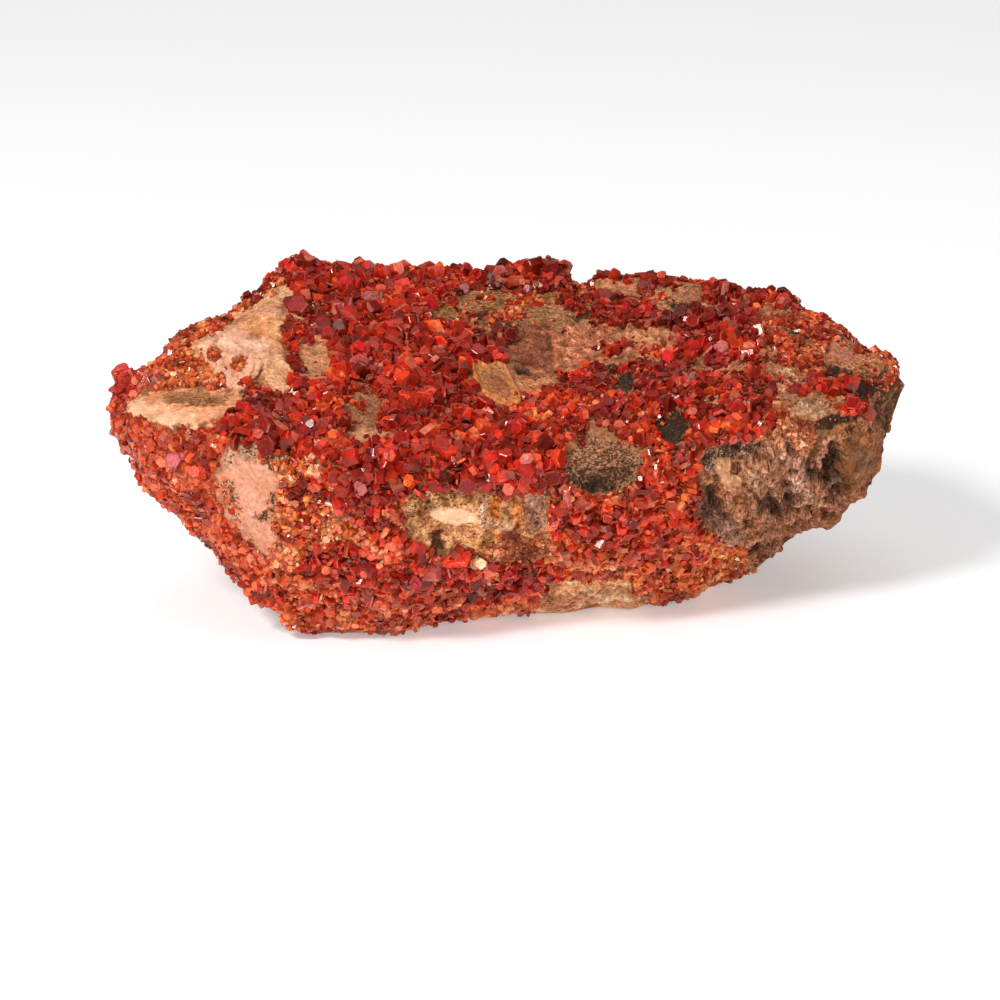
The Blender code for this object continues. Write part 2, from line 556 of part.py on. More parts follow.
# ------------------------------------------------------- crystals on their own
# name, colour, across, down, lift mm, radius mm, height mm, tilt, heading, spin, hollow
CRYSTALS = [
    ("crystal_skyline_block", DEEP, 556, 274, 1.9, 2.3, 3.4, 78, 285, 10, 0),
    ("crystal_skyline_peak", DEEP, 308, 268, 1.9, 1.8, 3.2, 24, 300, 20, 0),
    ("crystal_red_tablet", RED, 347, 286, 1.8, 2.1, 3.6, 82, 262, 30, 0),
    ("crystal_deep_plate", DEEP, 296, 310, 1.6, 2.4, 1.5, 42, 262, 0, 0),
    ("crystal_pale_skyline", MAUVE, 501, 278, 1.7, 1.8, 2.0, 55, 262, 8, 0),
    ("crystal_mauve_plate", MAUVE, 358, 371, 1.8, 2.4, 1.6, 52, 268, 30, 0),
    ("crystal_long_blade", RED, 368, 312, 1.8, 1.5, 4.6, 84, 20, 15, 0),
    ("crystal_tip_blade", RED, 121, 374, 1.8, 1.7, 3.0, 40, 210, 0, 0),
    ("crystal_lilac_left", MAUVE, 178, 459, 1.7, 2.0, 1.8, 62, 240, 12, 0),
    ("crystal_mauve_right", MAUVE, 719, 351, 1.7, 1.7, 1.5, 40, 275, 30, 0),
    ("crystal_twin_tablet_a", RED, 737, 415, 1.8, 1.9, 2.2, 64, 262, 0, 0),
    ("crystal_twin_tablet_b", DEEP, 752, 417, 1.8, 2.2, 1.2, 84, 350, 0, 0),
    ("crystal_corner_red", DEEP, 262, 431, 1.9, 2.1, 2.8, 66, 240, 24, 0),
    ("crystal_front_red", RED, 523, 472, 1.8, 1.9, 3.2, 80, 256, 5, 0),
    ("crystal_pink_blade", MAUVE, 567, 492, 1.8, 0.9, 4.2, 20, 250, 0, 0),
    ("crystal_lower_blade", RED, 515, 583, 1.8, 1.5, 4.4, 82, 318, 12, 0),
    ("crystal_lower_pink", MAUVE, 427, 571, 1.8, 1.4, 3.6, 84, 330, 20, 0),
    ("crystal_ring", SALMON, 685, 563, 1.7, 1.9, 1.8, 70, 262, 10, 0.62),
    ("crystal_right_red", RED, 852, 406, 1.5, 1.6, 2.2, 60, 262, 0, 0),
]
for name, mat, across, down, lift, radius, height, tilt, heading, spin, hollow in CRYSTALS:
    place, normal = rock_hit(across, down)
    # the root stays clear of the rock: push the crystal out until its lowest corner is a gap above the surface
    turn = turned(tilt, heading, spin)
    crystal = hexagonal_crystal(radius * MM, height * MM, bevel=radius * 0.16 * MM, hollow=hollow)
    reach = min((turn @ v.co).dot(normal) for v in crystal.vertices)
    seat = place + normal * (max(lift * MM, -reach + FIT_GAP * 2.2))
    pocket = hexagonal_crystal(radius * MM, height * MM, bevel=radius * 0.10 * MM, grow=FIT_GAP * 1.2)
    pocket.transform(Matrix.Translation(seat) @ turn)
    low, high = [Vector([f(v.co[i] for v in pocket.vertices) for i in range(3)]) for f in (min, max)]
    for other, entry in pieces.items():
        mesh = entry[0]
        if other.startswith("crystal_"):
            continue
        points = np.array([v.co for v in mesh.vertices])
        if len(points) and np.all(points.max(0) > np.array(low)) and np.all(points.min(0) < np.array(high)):
            entry[0] = combined(mesh, [('DIFFERENCE', pocket.copy())])
    ob = add_object(name, crystal, mat, rock_object)
    ob.matrix_world = Matrix.Translation(seat) @ turn

for name, (mesh, mat) in pieces.items():
    body = biggest_body(mesh)
    ob = add_object(name, body, mat, rock_object)
    points = np.array([v.co for v in body.vertices])
    centre = Vector(0.5 * (points.min(0) + points.max(0)))
    body.transform(Matrix.Translation(-centre))
    ob.location = centre

# the origin of the specimen is at its bottom centre
rock_object.location = (-ORIGIN_X, -ORIGIN_Y, 0.0)

for mesh in list(bpy.data.meshes):
    if mesh.users == 0:
        bpy.data.meshes.remove(mesh)
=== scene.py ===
"""Looks of the vanadinite druse: the host rock, the druse fields crystal by crystal, crusts, floor, light and camera."""
import bpy
import math
import numpy as np
from mathutils import Matrix, Vector
from mathutils.bvhtree import BVHTree


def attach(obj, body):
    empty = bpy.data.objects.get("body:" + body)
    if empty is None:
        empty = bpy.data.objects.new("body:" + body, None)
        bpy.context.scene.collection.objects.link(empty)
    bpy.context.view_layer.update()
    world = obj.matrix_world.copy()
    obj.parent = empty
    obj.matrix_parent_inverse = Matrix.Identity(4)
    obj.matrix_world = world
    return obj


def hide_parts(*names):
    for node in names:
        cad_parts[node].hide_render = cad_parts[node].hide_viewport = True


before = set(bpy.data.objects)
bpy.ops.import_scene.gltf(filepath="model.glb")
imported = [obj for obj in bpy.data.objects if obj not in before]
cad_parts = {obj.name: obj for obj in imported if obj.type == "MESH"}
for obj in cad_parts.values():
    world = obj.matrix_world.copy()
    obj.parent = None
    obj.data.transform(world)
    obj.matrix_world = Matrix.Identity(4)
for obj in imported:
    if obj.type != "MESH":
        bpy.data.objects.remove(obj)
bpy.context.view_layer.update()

MM = 0.001
rng = np.random.default_rng(20461)

# --------------------------------------------------------------- the sight and the outlines (as in the CAD)
UNITS_PER_M = 5320.0
SIGHT_TILT = math.radians(20.0)
SIGHT_DISTANCE = 0.7832
SIGHT_X, SIGHT_Z = -0.0008, 0.0179
OUTLINE_MID = 500.0
ORIGIN_X, ORIGIN_Y = 0.00012, 0.00392
LEFT_END, RIGHT_END = -0.0722, 0.0752

BACK_EDGE = [(112, 392, -6), (122, 379, -4), (147, 371, 0), (165, 357, 3), (181, 338, 7), (207, 324, 13),
             (232, 311, 19), (258, 294, 25), (282, 275, 30), (302, 268, 33), (345, 271, 36), (393, 272, 38),
             (442, 269, 39), (480, 277, 39), (520, 269, 39), (560, 271, 38), (600, 281, 37), (645, 282, 36),
             (690, 287, 34), (750, 295, 31), (787, 297, 28), (810, 309, 25), (845, 331, 19), (864, 349, 15),
             (890, 363, 9), (902, 378, 5)]
TOP_MIDDLE = [(110, 396, -6), (133, 394, -9), (160, 391, -10), (200, 388, -11), (230, 384, -10), (270, 371, -5),
              (320, 362, 0), (400, 358, 2), (500, 362, 2), (600, 366, 2), (700, 364, 1), (760, 362, 0),
              (810, 363, 0), (850, 366, -1), (885, 374, -1), (901, 382, 2)]
BROW = [(109, 401, -7), (133, 419, -17), (160, 424, -22), (200, 431, -27), (250, 447, -31), (300, 458, -33),
        (350, 462, -34), (400, 466, -34), (450, 472, -34), (500, 478, -33), (550, 476, -32), (600, 468, -30),
        (650, 462, -29), (700, 448, -27), (750, 436, -25), (800, 425, -22), (840, 415, -18), (870, 405, -13),
        (890, 396, -6), (902, 383, -1)]
BELLY = [(110, 406, -8), (130, 437, -16), (160, 468, -21), (200, 494, -26), (250, 524, -30), (300, 550, -33),
         (350, 562, -34), (400, 562, -34), (450, 556, -32), (500, 550, -30), (550, 548, -28), (600, 546, -27),
         (650, 540, -25), (700, 522, -22), (750, 500, -19), (800, 480, -17), (840, 465, -14), (870, 445, -9),
         (889, 418, -4), (901, 388, 0)]
FOOT_FRONT = [(112, 412, -8), (124, 436, -12), (140, 472, -14), (155, 494, -16), (175, 510, -17), (190, 526, -19),
              (215, 548, -21), (238, 582, -23), (262, 598, -24), (290, 619, -25), (320, 632, -22), (345, 632, -22),
              (390, 632, -22), (430, 624, -18), (480, 613, -13), (520, 611, -12), (560, 612, -12), (600, 606, -9),
              (630, 608, -10), (650, 602, -7), (690, 595, -4), (705, 583, 0), (725, 577, 2), (750, 569, 1),
              (772, 554, -1), (803, 531, -4), (831, 518, -5), (850, 504, -4), (870, 487, -3), (881, 458, -2),
              (888, 430, -1), (898, 394, 1), (901, 390, 2)]
FOOT_BACK = [(-72.2, -4, 33.5), (-68, -1, 29), (-60, 4, 20), (-50, 10, 10), (-41, 15, 3), (-34, 18, 0), (-20, 21, 0),
             (0, 23, 0), (20, 22, 0), (33, 20, 0), (40, 18, 1.5), (50, 14, 7), (60, 9, 15), (68, 6, 23),
             (73, 4, 31), (75.2, 3, 38)]
BACK_BULGE = [(-72.2, 0.2), (-60, 1.5), (-40, 3.5), (-10, 4.5), (20, 4.0), (45, 3.0), (65, 1.5), (75.2, 0.2)]
RING = (0.0, 0.09, 0.18, 0.27, 0.335, 0.36, 0.385, 0.48, 0.56, 0.60, 0.68, 0.76, 0.83, 0.90, 0.96, 1.0)


def on_sight_line(across, down, depth):
    y = depth * MM
    s, c = math.sin(SIGHT_TILT), math.cos(SIGHT_TILT)
    k = (OUTLINE_MID - down) / (UNITS_PER_M * SIGHT_DISTANCE)
    h = (k * (SIGHT_DISTANCE + y * c) - y * s) / (c + k * s)
    far = SIGHT_DISTANCE + y * c - h * s
    return Vector((SIGHT_X + (across - OUTLINE_MID) / (UNITS_PER_M * SIGHT_DISTANCE) * far, y, SIGHT_Z + h))


def reading(points):
    """Outline readings (across, down) of points: where the fixed line of sight meets them."""
    s, c = math.sin(SIGHT_TILT), math.cos(SIGHT_TILT)
    x, y, z = points[:, 0] - SIGHT_X, points[:, 1], points[:, 2] - SIGHT_Z
    far = SIGHT_DISTANCE + y * c - z * s
    f = UNITS_PER_M * SIGHT_DISTANCE
    return OUTLINE_MID + f * x / far, OUTLINE_MID - f * (y * s + z * c) / far


def smooth_curve(keys, values):
    keys, values = np.asarray(keys, float), np.asarray(values, float)
    step = np.diff(keys)
    slope = np.diff(values) / step
    tangent = np.zeros(len(keys))
    for i in range(1, len(keys) - 1):
        if slope[i - 1] * slope[i] > 0.0:
            a, b = 2 * step[i] + step[i - 1], step[i] + 2 * step[i - 1]
            tangent[i] = (a + b) / (a / slope[i - 1] + b / slope[i])
    tangent[0], tangent[-1] = slope[0], slope[-1]

    def at(x):
        x = np.clip(x, keys[0], keys[-1])
        i = np.clip(np.searchsorted(keys, x) - 1, 0, len(step) - 1)
        t = (x - keys[i]) / step[i]
        return ((1 + 2 * t) * (1 - t) ** 2 * values[i] + t * (1 - t) ** 2 * step[i] * tangent[i]
                + t * t * (3 - 2 * t) * values[i + 1] + t * t * (t - 1) * step[i] * tangent[i + 1])
    return at


def outline_curve(rows):
    points = sorted(((p.x, p.y, p.z) for p in (on_sight_line(*r) for r in rows)), key=lambda p: p[0])
    clean = [points[0]]
    for p in points[1:]:
        if p[0] - clean[-1][0] > 0.0006:
            clean.append(p)
    x, y, z = zip(*clean)
    return smooth_curve(x, y), smooth_curve(x, z)


def plain_curve(rows):
    x = [r[0] * MM for r in rows]
    return [smooth_curve(x, [r[i] * MM for r in rows]) for i in range(1, len(rows[0]))]


back_edge, top_middle, brow = outline_curve(BACK_EDGE), outline_curve(TOP_MIDDLE), outline_curve(BROW)
belly, foot_front = outline_curve(BELLY), outline_curve(FOOT_FRONT)
foot_back, back_bulge = plain_curve(FOOT_BACK), plain_curve(BACK_BULGE)[0]


def ring_points(x):
    s, m, c, b, f = [Vector((float(g[0](x)), float(g[1](x)))) for g in (back_edge, top_middle, brow, belly, foot_front)]
    e = Vector((float(foot_back[0](x)), float(foot_back[1](x))))
    if f.y < 0.0009:
        f.y = 0.0
    bulge = float(back_bulge(x))
    hump = 0.0012 * min(1.0, max(0.0, (0.075 - abs(x)) / 0.012))
    back = Vector((max(s.x, e.x) + bulge, 0.55 * s.y + 0.45 * e.y))
    low = min(f.y, e.y)
    return [s, s.lerp(m, 0.5) + Vector((0, hump)), m, m.lerp(c, 0.5) + Vector((0, hump)),
            m.lerp(c, 0.88) + Vector((0, hump * 0.8)), c, c.lerp(b, 0.12) + Vector((-hump * 0.5, 0)), b,
            b.lerp(f, 0.62) + Vector((-hump * 0.8, 0)), f, Vector((0.5 * (f.x + e.x), low if low > 0 else 0.0)), e,
            e.lerp(back, 0.5) + Vector((bulge * 0.5, 0)), back, back.lerp(s, 0.62) + Vector((bulge * 0.35, 0)), s]


# --------------------------------------------------------------- numpy noise
def _hash(ix, iy, iz, seed):
    h = (ix.astype(np.uint32) * np.uint32(374761393) + iy.astype(np.uint32) * np.uint32(668265263)
         + iz.astype(np.uint32) * np.uint32(2147483647) + np.uint32(seed * 1274126177 % 4294967296))
    h = (h ^ (h >> np.uint32(13))) * np.uint32(1274126177)
    h = (h ^ (h >> np.uint32(16))) * np.uint32(2246822519)
    return h ^ (h >> np.uint32(15))


def perlin(p, scale, seed=0):
    """Gradient noise of points p (metres) with scale cells to the metre, about -1 to 1."""
    q = p * scale + 1000.0
    i = np.floor(q).astype(np.int64)
    f = q - i
    u = f * f * f * (f * (f * 6 - 15) + 10)
    total = np.zeros(len(p))
    for dx in (0, 1):
        for dy in (0, 1):
            for dz in (0, 1):
                h = _hash(i[:, 0] + dx, i[:, 1] + dy, i[:, 2] + dz, seed)
                g = np.stack([(h & np.uint32(1023)) / 511.5 - 1, ((h >> np.uint32(10)) & np.uint32(1023)) / 511.5 - 1,
                              ((h >> np.uint32(20)) & np.uint32(1023)) / 511.5 - 1], 1)
                d = f - np.array([dx, dy, dz])
                w = ((u[:, 0] if dx else 1 - u[:, 0]) * (u[:, 1] if dy else 1 - u[:, 1])
                     * (u[:, 2] if dz else 1 - u[:, 2]))
                total += w * np.sum(g * d, 1)
    return total * 1.25


def fbm(p, scale, octaves=3, seed=0):
    total, amp, norm = np.zeros(len(p)), 1.0, 0.0
    for k in range(octaves):
        total += amp * perlin(p, scale * 2.03 ** k, seed + 17 * k)
        norm += amp
        amp *= 0.52
    return total / norm


def worley(p, scale, seed=0):
    """Distances to the nearest and second nearest cell point, in cells, and the nearest cell's own number 0 to 1."""
    q = p * scale + 1000.0
    i = np.floor(q).astype(np.int64)
    first, second, own = np.full(len(p), 9.0), np.full(len(p), 9.0), np.zeros(len(p))
    for dx in (-1, 0, 1):
        for dy in (-1, 0, 1):
            for dz in (-1, 0, 1):
                c = i + np.array([dx, dy, dz])
                h = _hash(c[:, 0], c[:, 1], c[:, 2], seed)
                j = np.stack([(h & np.uint32(1023)) / 1023.0, ((h >> np.uint32(10)) & np.uint32(1023)) / 1023.0,
                              ((h >> np.uint32(20)) & np.uint32(1023)) / 1023.0], 1)
                d = np.linalg.norm(c + j - q, axis=1)
                nearer = d < first
                second = np.where(nearer, first, np.minimum(second, d))
                own = np.where(nearer, (h >> np.uint32(4)) % np.uint32(1000) / 1000.0, own)
                first = np.where(nearer, d, first)
    return first, second, own


def smoothstep(a, b, x):
    t = np.clip((x - a) / (b - a), 0.0, 1.0)
    return t * t * (3 - 2 * t)


def linear(r, g, b):
    """Linear colour of an sRGB one, 0 to 255."""
    return np.array([(c / 255.0 / 12.92) if c / 255.0 <= 0.04045 else ((c / 255.0 + 0.055) / 1.055) ** 2.4 for c in (r, g, b)])


# --------------------------------------------------------------- areas read off the outline view
def toned(f, green=1.25, blue=1.45):
    """Brightness factors as colour factors: what is darker is also purer, what is lighter is also paler."""
    f = np.clip(f, 0.03, 3.0)
    return np.stack([f, f ** np.where(f > 1, 1 + (green - 1) * 0.5, green), f ** np.where(f > 1, blue + 0.2, blue)], -1)


def ellipse(cx, cy, rx, ry, turn=0.0):
    a = math.radians(turn)

    def inside(u, v):
        """Rough distance inside the edge, in readings: positive inside."""
        dx, dy = u - cx, v - cy
        x, y = dx * math.cos(a) + dy * math.sin(a), -dx * math.sin(a) + dy * math.cos(a)
        return (1.0 - np.sqrt((x / rx) ** 2 + (y / ry) ** 2)) * min(rx, ry)
    return inside


def polygon(*points):
    pts = np.array(points, float)

    def inside(u, v):
        best = np.full(len(u), 1e9)
        crossing = np.zeros(len(u), bool)
        for (x1, y1), (x2, y2) in zip(pts, np.roll(pts, -1, axis=0)):
            ex, ey = x2 - x1, y2 - y1
            t = np.clip(((u - x1) * ex + (v - y1) * ey) / (ex * ex + ey * ey + 1e-12), 0, 1)
            best = np.minimum(best, np.hypot(u - x1 - t * ex, v - y1 - t * ey))
            cond = ((y1 > v) != (y2 > v))
            crossing ^= cond & (u < (x2 - x1) * (v - y1) / ((y2 - y1) if abs(y2 - y1) > 1e-9 else 1e-9) + x1)
        return np.where(crossing, best, -best)
    return inside


# Bare places: name, area, colour, softness, raggedness (readings), speckle 0-1, grain 0-1, height mm, bare of crystals 0-1
PLACES = [
    ("right ground", polygon((560, 400), (580, 330), (640, 285), (760, 285), (850, 325), (905, 375), (895, 400),
                             (850, 430), (760, 440), (700, 450), (640, 440)), (190, 122, 84), 6, 5, 0.22, 0.7, 0.0, 0.0),
    ("upper left cream", polygon((180, 342), (190, 332), (226, 318), (250, 300), (286, 302), (282, 330), (280, 350), (290, 374),
                                 (286, 392), (262, 390), (236, 393), (222, 385), (204, 362), (190, 350)),
     (248, 172, 122), 2.5, 5, 0.07, 0.35, 0.5, 0.96),
    ("cream shade", polygon((226, 330), (256, 318), (282, 322), (276, 344), (250, 342), (224, 340)), (234, 156, 104), 5, 6,
     0.12, 0.4, 0.0, 0.0),
    ("cream flaky", polygon((200, 340), (212, 333), (236, 334), (262, 342), (270, 352), (268, 366), (256, 376),
                            (252, 388), (238, 391), (226, 384), (212, 366), (202, 352)),
     (247, 180, 144), 1.6, 2.5, 0.05, 0.12, 0.25, 0.96),
    ("cream low edge", ellipse(262, 384, 18, 7, -12), (206, 132, 90), 3, 3, 0.15, 0.5, 0.0, 0.8),
    # painted shadow in the crevice to the right of the flake
    ("cream crevice shadow", ellipse(257, 374, 7, 4, -35), (96, 62, 46), 2, 3, 0.5, 0.4, -0.5, 0.97),
    ("cream right", polygon((268, 352), (278, 350), (290, 374), (284, 390), (270, 386), (264, 370)), (250, 184, 136), 3, 4,
     0.08, 0.3, 0.1, 0.9),
    ("peach top", ellipse(268, 306, 21, 14, -20), (242, 170, 136), 3, 4, 0.04, 0.4, 0.4, 0.95),
    ("skyline tan", polygon((236, 318), (246, 304), (266, 288), (288, 280), (296, 292), (290, 304), (262, 312)),
     (244, 182, 132), 3, 4, 0.05, 0.4, 0.0, 0.55),
    ("tan under skyline", polygon((280, 304), (296, 302), (334, 306), (332, 321), (300, 323), (282, 320)), (222, 150, 104),
     2.5, 5, 0.1, 0.6, -0.1, 0.85),
    ("skyline shelf", ellipse(215, 332, 20, 7, -18), (214, 156, 108), 3, 4, 0.1, 0.5, 0.0, 0.5),
    ("tan inlet", polygon((296, 346), (322, 338), (334, 352), (330, 374), (316, 384), (302, 372)), (220, 150, 104), 3, 4,
     0.1, 0.5, -0.1, 0.92),
    ("olive gap", ellipse(454, 356, 9, 9), (176, 120, 74), 3, 4, 0.3, 0.7, -0.3, 0.7),
    ("tan gap", ellipse(429, 423, 9, 7, 15), (206, 140, 98), 3, 4, 0.1, 0.7, -0.2, 0.7),
    ("orange gap", ellipse(321, 410, 15, 9, -18), (208, 132, 64), 3, 4, 0.1, 1.0, -0.2, 0.72),
    ("brown gap", ellipse(379, 403, 13, 8, 10), (168, 104, 70), 3, 4, 0.2, 0.7, -0.4, 0.7),
    ("orange patch", ellipse(211, 327, 15, 6, -15), (206, 116, 54), 2, 3, 0.0, 1.0, 0.3, 0.2),
    ("shelf", polygon((130, 398), (160, 389), (200, 390), (232, 394), (240, 404), (216, 420), (184, 421), (148, 414)),
     (245, 164, 118), 3, 5, 0.12, 0.2, -0.2, 0.97),
    ("shelf olive", polygon((162, 391), (200, 389), (232, 396), (224, 408), (196, 408), (168, 404)), (192, 128, 80), 3,
     4, 0.54, 0.40, -0.2, 0.95),
    ("shelf rim", polygon((124, 403), (140, 394), (152, 402), (178, 411), (200, 415), (198, 425), (168, 425), (146, 418),
                          (132, 414)), (250, 186, 144), 2.5, 4, 0.03, 0.12, 0.15, 0.95),
    ("pink patch", polygon((220, 456), (232, 450), (256, 452), (274, 462), (278, 480), (275, 500), (271, 520), (284, 540),
                           (294, 556), (282, 563), (260, 550), (242, 533), (226, 515), (215, 493), (213, 470)),
     (222, 150, 118), 2.0, 4, 0.13, 0.16, -0.2, 1.0),
    ("pink patch top edge", polygon((220, 446), (260, 444), (276, 458), (262, 464), (236, 460), (224, 470)),
     (212, 152, 116), 3, 4, 0.66, 0.35, -0.3, 0.95),
    ("pink patch left edge", ellipse(232, 500, 9, 18, -22), (216, 148, 112), 3, 4, 0.66, 0.25, 0.0, 0.9),
    ("black specks", ellipse(268, 508, 7, 13, 14), (190, 120, 92), 3, 7, 0.86, 0.5, -0.2, 1.0),
    ("pink patch tail", ellipse(284, 552, 14, 8, 40), (220, 142, 100), 3, 4, 0.5, 0.5, 0.0, 0.8),
    ("green speckled", polygon((258, 454), (284, 448), (303, 450), (300, 462), (282, 470), (262, 468)), (206, 160, 108),
     2.5, 5, 0.80, 0.5, 0.0, 0.8),
    ("centre recess", polygon((346, 382), (364, 376), (378, 390), (382, 414), (374, 440), (348, 442), (340, 412)),
     (172, 112, 76), 3, 5, 0.24, 0.7, -0.7, 0.92),
    ("recess foot", ellipse(364, 434, 23, 10, -8), (220, 156, 108), 3, 4, 0.1, 0.6, -0.2, 0.9),
    ("dark nook", ellipse(356, 386, 12, 6), (60, 42, 34), 3, 4, 0.3, 0.4, -0.8, 0.9),
    ("tan nook", ellipse(402, 398, 9, 7, 20), (236, 150, 74), 2.5, 3, 0.05, 0.8, -0.2, 0.6),
    ("olive ground", polygon((430, 300), (462, 290), (522, 288), (556, 294), (556, 320), (520, 328), (470, 322),
                             (440, 316)), (176, 118, 72), 4, 5, 0.34, 0.9, -0.4, 0.80),
    ("matrix brown", polygon((505, 330), (524, 320), (548, 322), (560, 342), (556, 366), (530, 372), (510, 360)),
     (158, 90, 62), 4, 7, 0.34, 0.65, -0.3, 0.93),
    ("matrix tan", polygon((550, 338), (576, 328), (604, 330), (640, 332), (676, 336), (672, 350), (634, 352), (604, 367),
                           (566, 372), (550, 356)), (226, 138, 98), 3, 9, 0.32, 0.62, 0.2, 0.82),
    ("matrix upper", polygon((552, 306), (580, 302), (596, 308), (594, 322), (570, 326), (552, 322)), (178, 120, 80), 4,
     5, 0.45, 0.6, 0.0, 0.75),
    ("below shell", polygon((518, 372), (546, 368), (556, 386), (540, 400), (524, 404), (520, 390)), (214, 136, 88), 3, 6,
     0.25, 0.8, -0.2, 0.75),
    ("under shell", ellipse(496, 384, 25, 21, 38), (180, 110, 72), 2, 3, 0.3, 0.6, -0.2, 1.0),
    ("orange matrix", polygon((520, 396), (556, 384), (566, 400), (562, 450), (540, 462), (528, 430)), (206, 116, 56), 4, 5,
     0.15, 1.0, 0.0, 0.35),
    # painted shadow beside the shell
    ("shadow under shell", ellipse(520, 368, 9, 5, 10), (60, 42, 32), 2, 3, 0.2, 0.4, -0.9, 1.0),
    ("streak a", ellipse(479, 315, 8, 4, -10), (96, 80, 56), 1.5, 3.0, 0.98, 0.5, 0.0, 0.9),
    ("streak b", ellipse(493, 321, 9, 3.5, 10), (92, 76, 54), 1.5, 3.0, 0.98, 0.5, 0.0, 0.9),
    ("streak c", ellipse(512, 324, 10, 5, 15), (96, 80, 56), 1.5, 3.0, 0.98, 0.5, 0.0, 0.9),
    ("dark bit", ellipse(583, 311, 11, 6, -5), (116, 88, 62), 2.5, 6.0, 0.84, 0.6, -0.3, 0.85),
    ("tan 659", polygon((640, 292), (660, 288), (682, 294), (682, 306), (660, 309), (642, 306)), (214, 142, 98), 3, 7, 0.25,
     0.7, 0.0, 0.80),
    ("tan 606", polygon((578, 278), (604, 276), (630, 280), (634, 292), (612, 295), (586, 291)), (206, 132, 88), 3, 8, 0.22,
     0.7, 0.0, 0.62),
    ("tan 656", polygon((634, 331), (652, 328), (674, 334), (678, 344), (656, 347), (636, 344)), (214, 146, 102), 2.5, 4,
     0.1, 0.5, 0.0, 0.9),
    ("tan 690", ellipse(690, 284, 15, 6, 8), (188, 118, 80), 3, 4, 0.2, 0.7, 0.0, 0.6),
    ("orange 705", ellipse(703, 344, 12, 7), (206, 116, 58), 3, 4, 0.1, 1.0, 0.0, 0.5),
    ("black 687", ellipse(687, 305, 16, 4.5, 5), (76, 56, 44), 2, 5.0, 0.86, 0.6, -0.2, 0.97),
    ("tan 776", polygon((758, 304), (780, 300), (798, 310), (786, 318), (764, 316)), (206, 136, 98), 3, 7, 0.2, 0.6, 0.0, 0.85),
    ("orange 812", polygon((790, 306), (816, 304), (836, 322), (842, 338), (816, 336), (796, 322)), (190, 98, 46), 3, 4,
     0.1, 1.0, 0.0, 0.25),
    ("olive 815", polygon((760, 320), (790, 318), (826, 326), (842, 336), (826, 346), (786, 340), (764, 332)), (180, 114, 72),
     4, 9, 0.42, 1.0, 0.0, 0.42),
    ("dark skyline", polygon((828, 316), (842, 322), (860, 338), (854, 342), (838, 332)), (96, 66, 46), 2, 3, 0.7, 0.6, 0.0,
     0.8),
    ("dark 793", ellipse(796, 330, 14, 6, 20), (128, 88, 60), 3, 6.0, 0.84, 0.7, 0.0, 0.6),
    ("peach right", polygon((826, 346), (850, 340), (876, 356), (886, 370), (870, 374), (846, 366), (828, 360)),
     (200, 124, 82), 3, 6, 0.26, 0.7, 0.0, 0.90),
    ("pink right", ellipse(845, 354, 16, 8, 25), (200, 128, 98), 3, 4, 0.12, 0.5, 0.0, 0.9),
    ("tan 786", polygon((771, 370), (790, 366), (799, 378), (794, 388), (778, 388), (770, 382)), (222, 158, 112), 2, 5,
     0.50, 0.7, 0.3, 0.9),
    ("tan 715", polygon((704, 398), (716, 392), (722, 404), (712, 412), (704, 408)), (222, 164, 122), 2, 3, 0.3, 0.6, 0.2,
     0.9),
    ("tan 800", polygon((796, 398), (818, 394), (834, 402), (830, 414), (812, 418), (796, 412)), (200, 148, 110), 3, 6,
     0.46, 0.7, 0.2, 0.85),
    ("dark 622", ellipse(621, 381, 12, 13), (84, 62, 46), 2.5, 7.0, 0.84, 0.6, -0.6, 0.94),
    ("dark 668", polygon((652, 426), (662, 410), (682, 406), (690, 420), (686, 442), (668, 450), (652, 444)), (80, 58, 42), 2.5, 7.0, 0.84, 0.6, -0.7, 0.95),
    ("dark 588", ellipse(588, 404, 9, 7), (136, 104, 74), 2, 5.0, 0.84, 0.6, -0.3, 0.8),
    ("dark 758", ellipse(756, 384, 14, 6), (90, 66, 48), 2, 6.0, 0.84, 0.6, -0.3, 0.8),
    ("dark 848", polygon((816, 368), (836, 364), (862, 371), (886, 376), (882, 383), (852, 379), (824, 378)), (74, 54, 42), 2.0, 5.0, 0.86, 0.6, -0.3, 0.95),
    ("dark 872", ellipse(870, 390, 16, 10, -10), (80, 57, 43), 2, 5.0, 0.78, 0.6, -0.2, 0.88),
    ("ledge", polygon((808, 421), (836, 414), (876, 412), (886, 422), (860, 430), (830, 431), (812, 430)), (80, 56, 42), 2.5,
     4, 0.72, 0.7, 0.0, 0.95),
    ("oval patch", ellipse(602, 461, 40, 27, 0), (188, 128, 90), 2.0, 5, 0.77, 0.5, -1.0, 1.0),
    # painted shade on the lower part of the oval hollow
    ("oval shaded floor", ellipse(598, 478, 32, 11, 4), (150, 102, 72), 5, 5, 0.80, 0.5, -0.4, 1.0),
    ("oval shadow", ellipse(594, 487, 14, 6, 0), (62, 40, 28), 5, 4, 0.6, 0.4, -0.3, 1.0),
    ("tan lower", polygon((402, 502), (424, 492), (470, 488), (546, 492), (548, 540), (522, 548), (480, 548), (440, 546),
                          (412, 540), (402, 522)), (255, 172, 114), 3, 7, 0.31, 0.75, -0.5, 0.92),
    ("grey ring", ellipse(485, 514, 13, 15, 0), (222, 162, 122), 5, 7, 0.52, 0.6, -0.2, 1.0),
    ("dark ring", polygon((404, 500), (430, 492), (470, 494), (474, 504), (440, 506), (428, 516), (424, 532), (406, 530)),
     (212, 148, 92), 5, 8, 0.56, 0.8, 0.0, 0.95),
    ("grey streak", polygon((524, 496), (546, 496), (546, 518), (540, 534), (530, 534), (522, 516)), (206, 148, 118), 3,
     5, 0.46, 0.5, -0.3, 1.0),
    ("orange streak a", ellipse(494, 510, 6, 14, 14), (226, 124, 44), 4, 4, 0.15, 1.0, 0.1, 0.35),
    ("orange streak b", ellipse(517, 514, 6, 18, -8), (222, 126, 60), 4, 4, 0.15, 1.0, 0.1, 0.35),
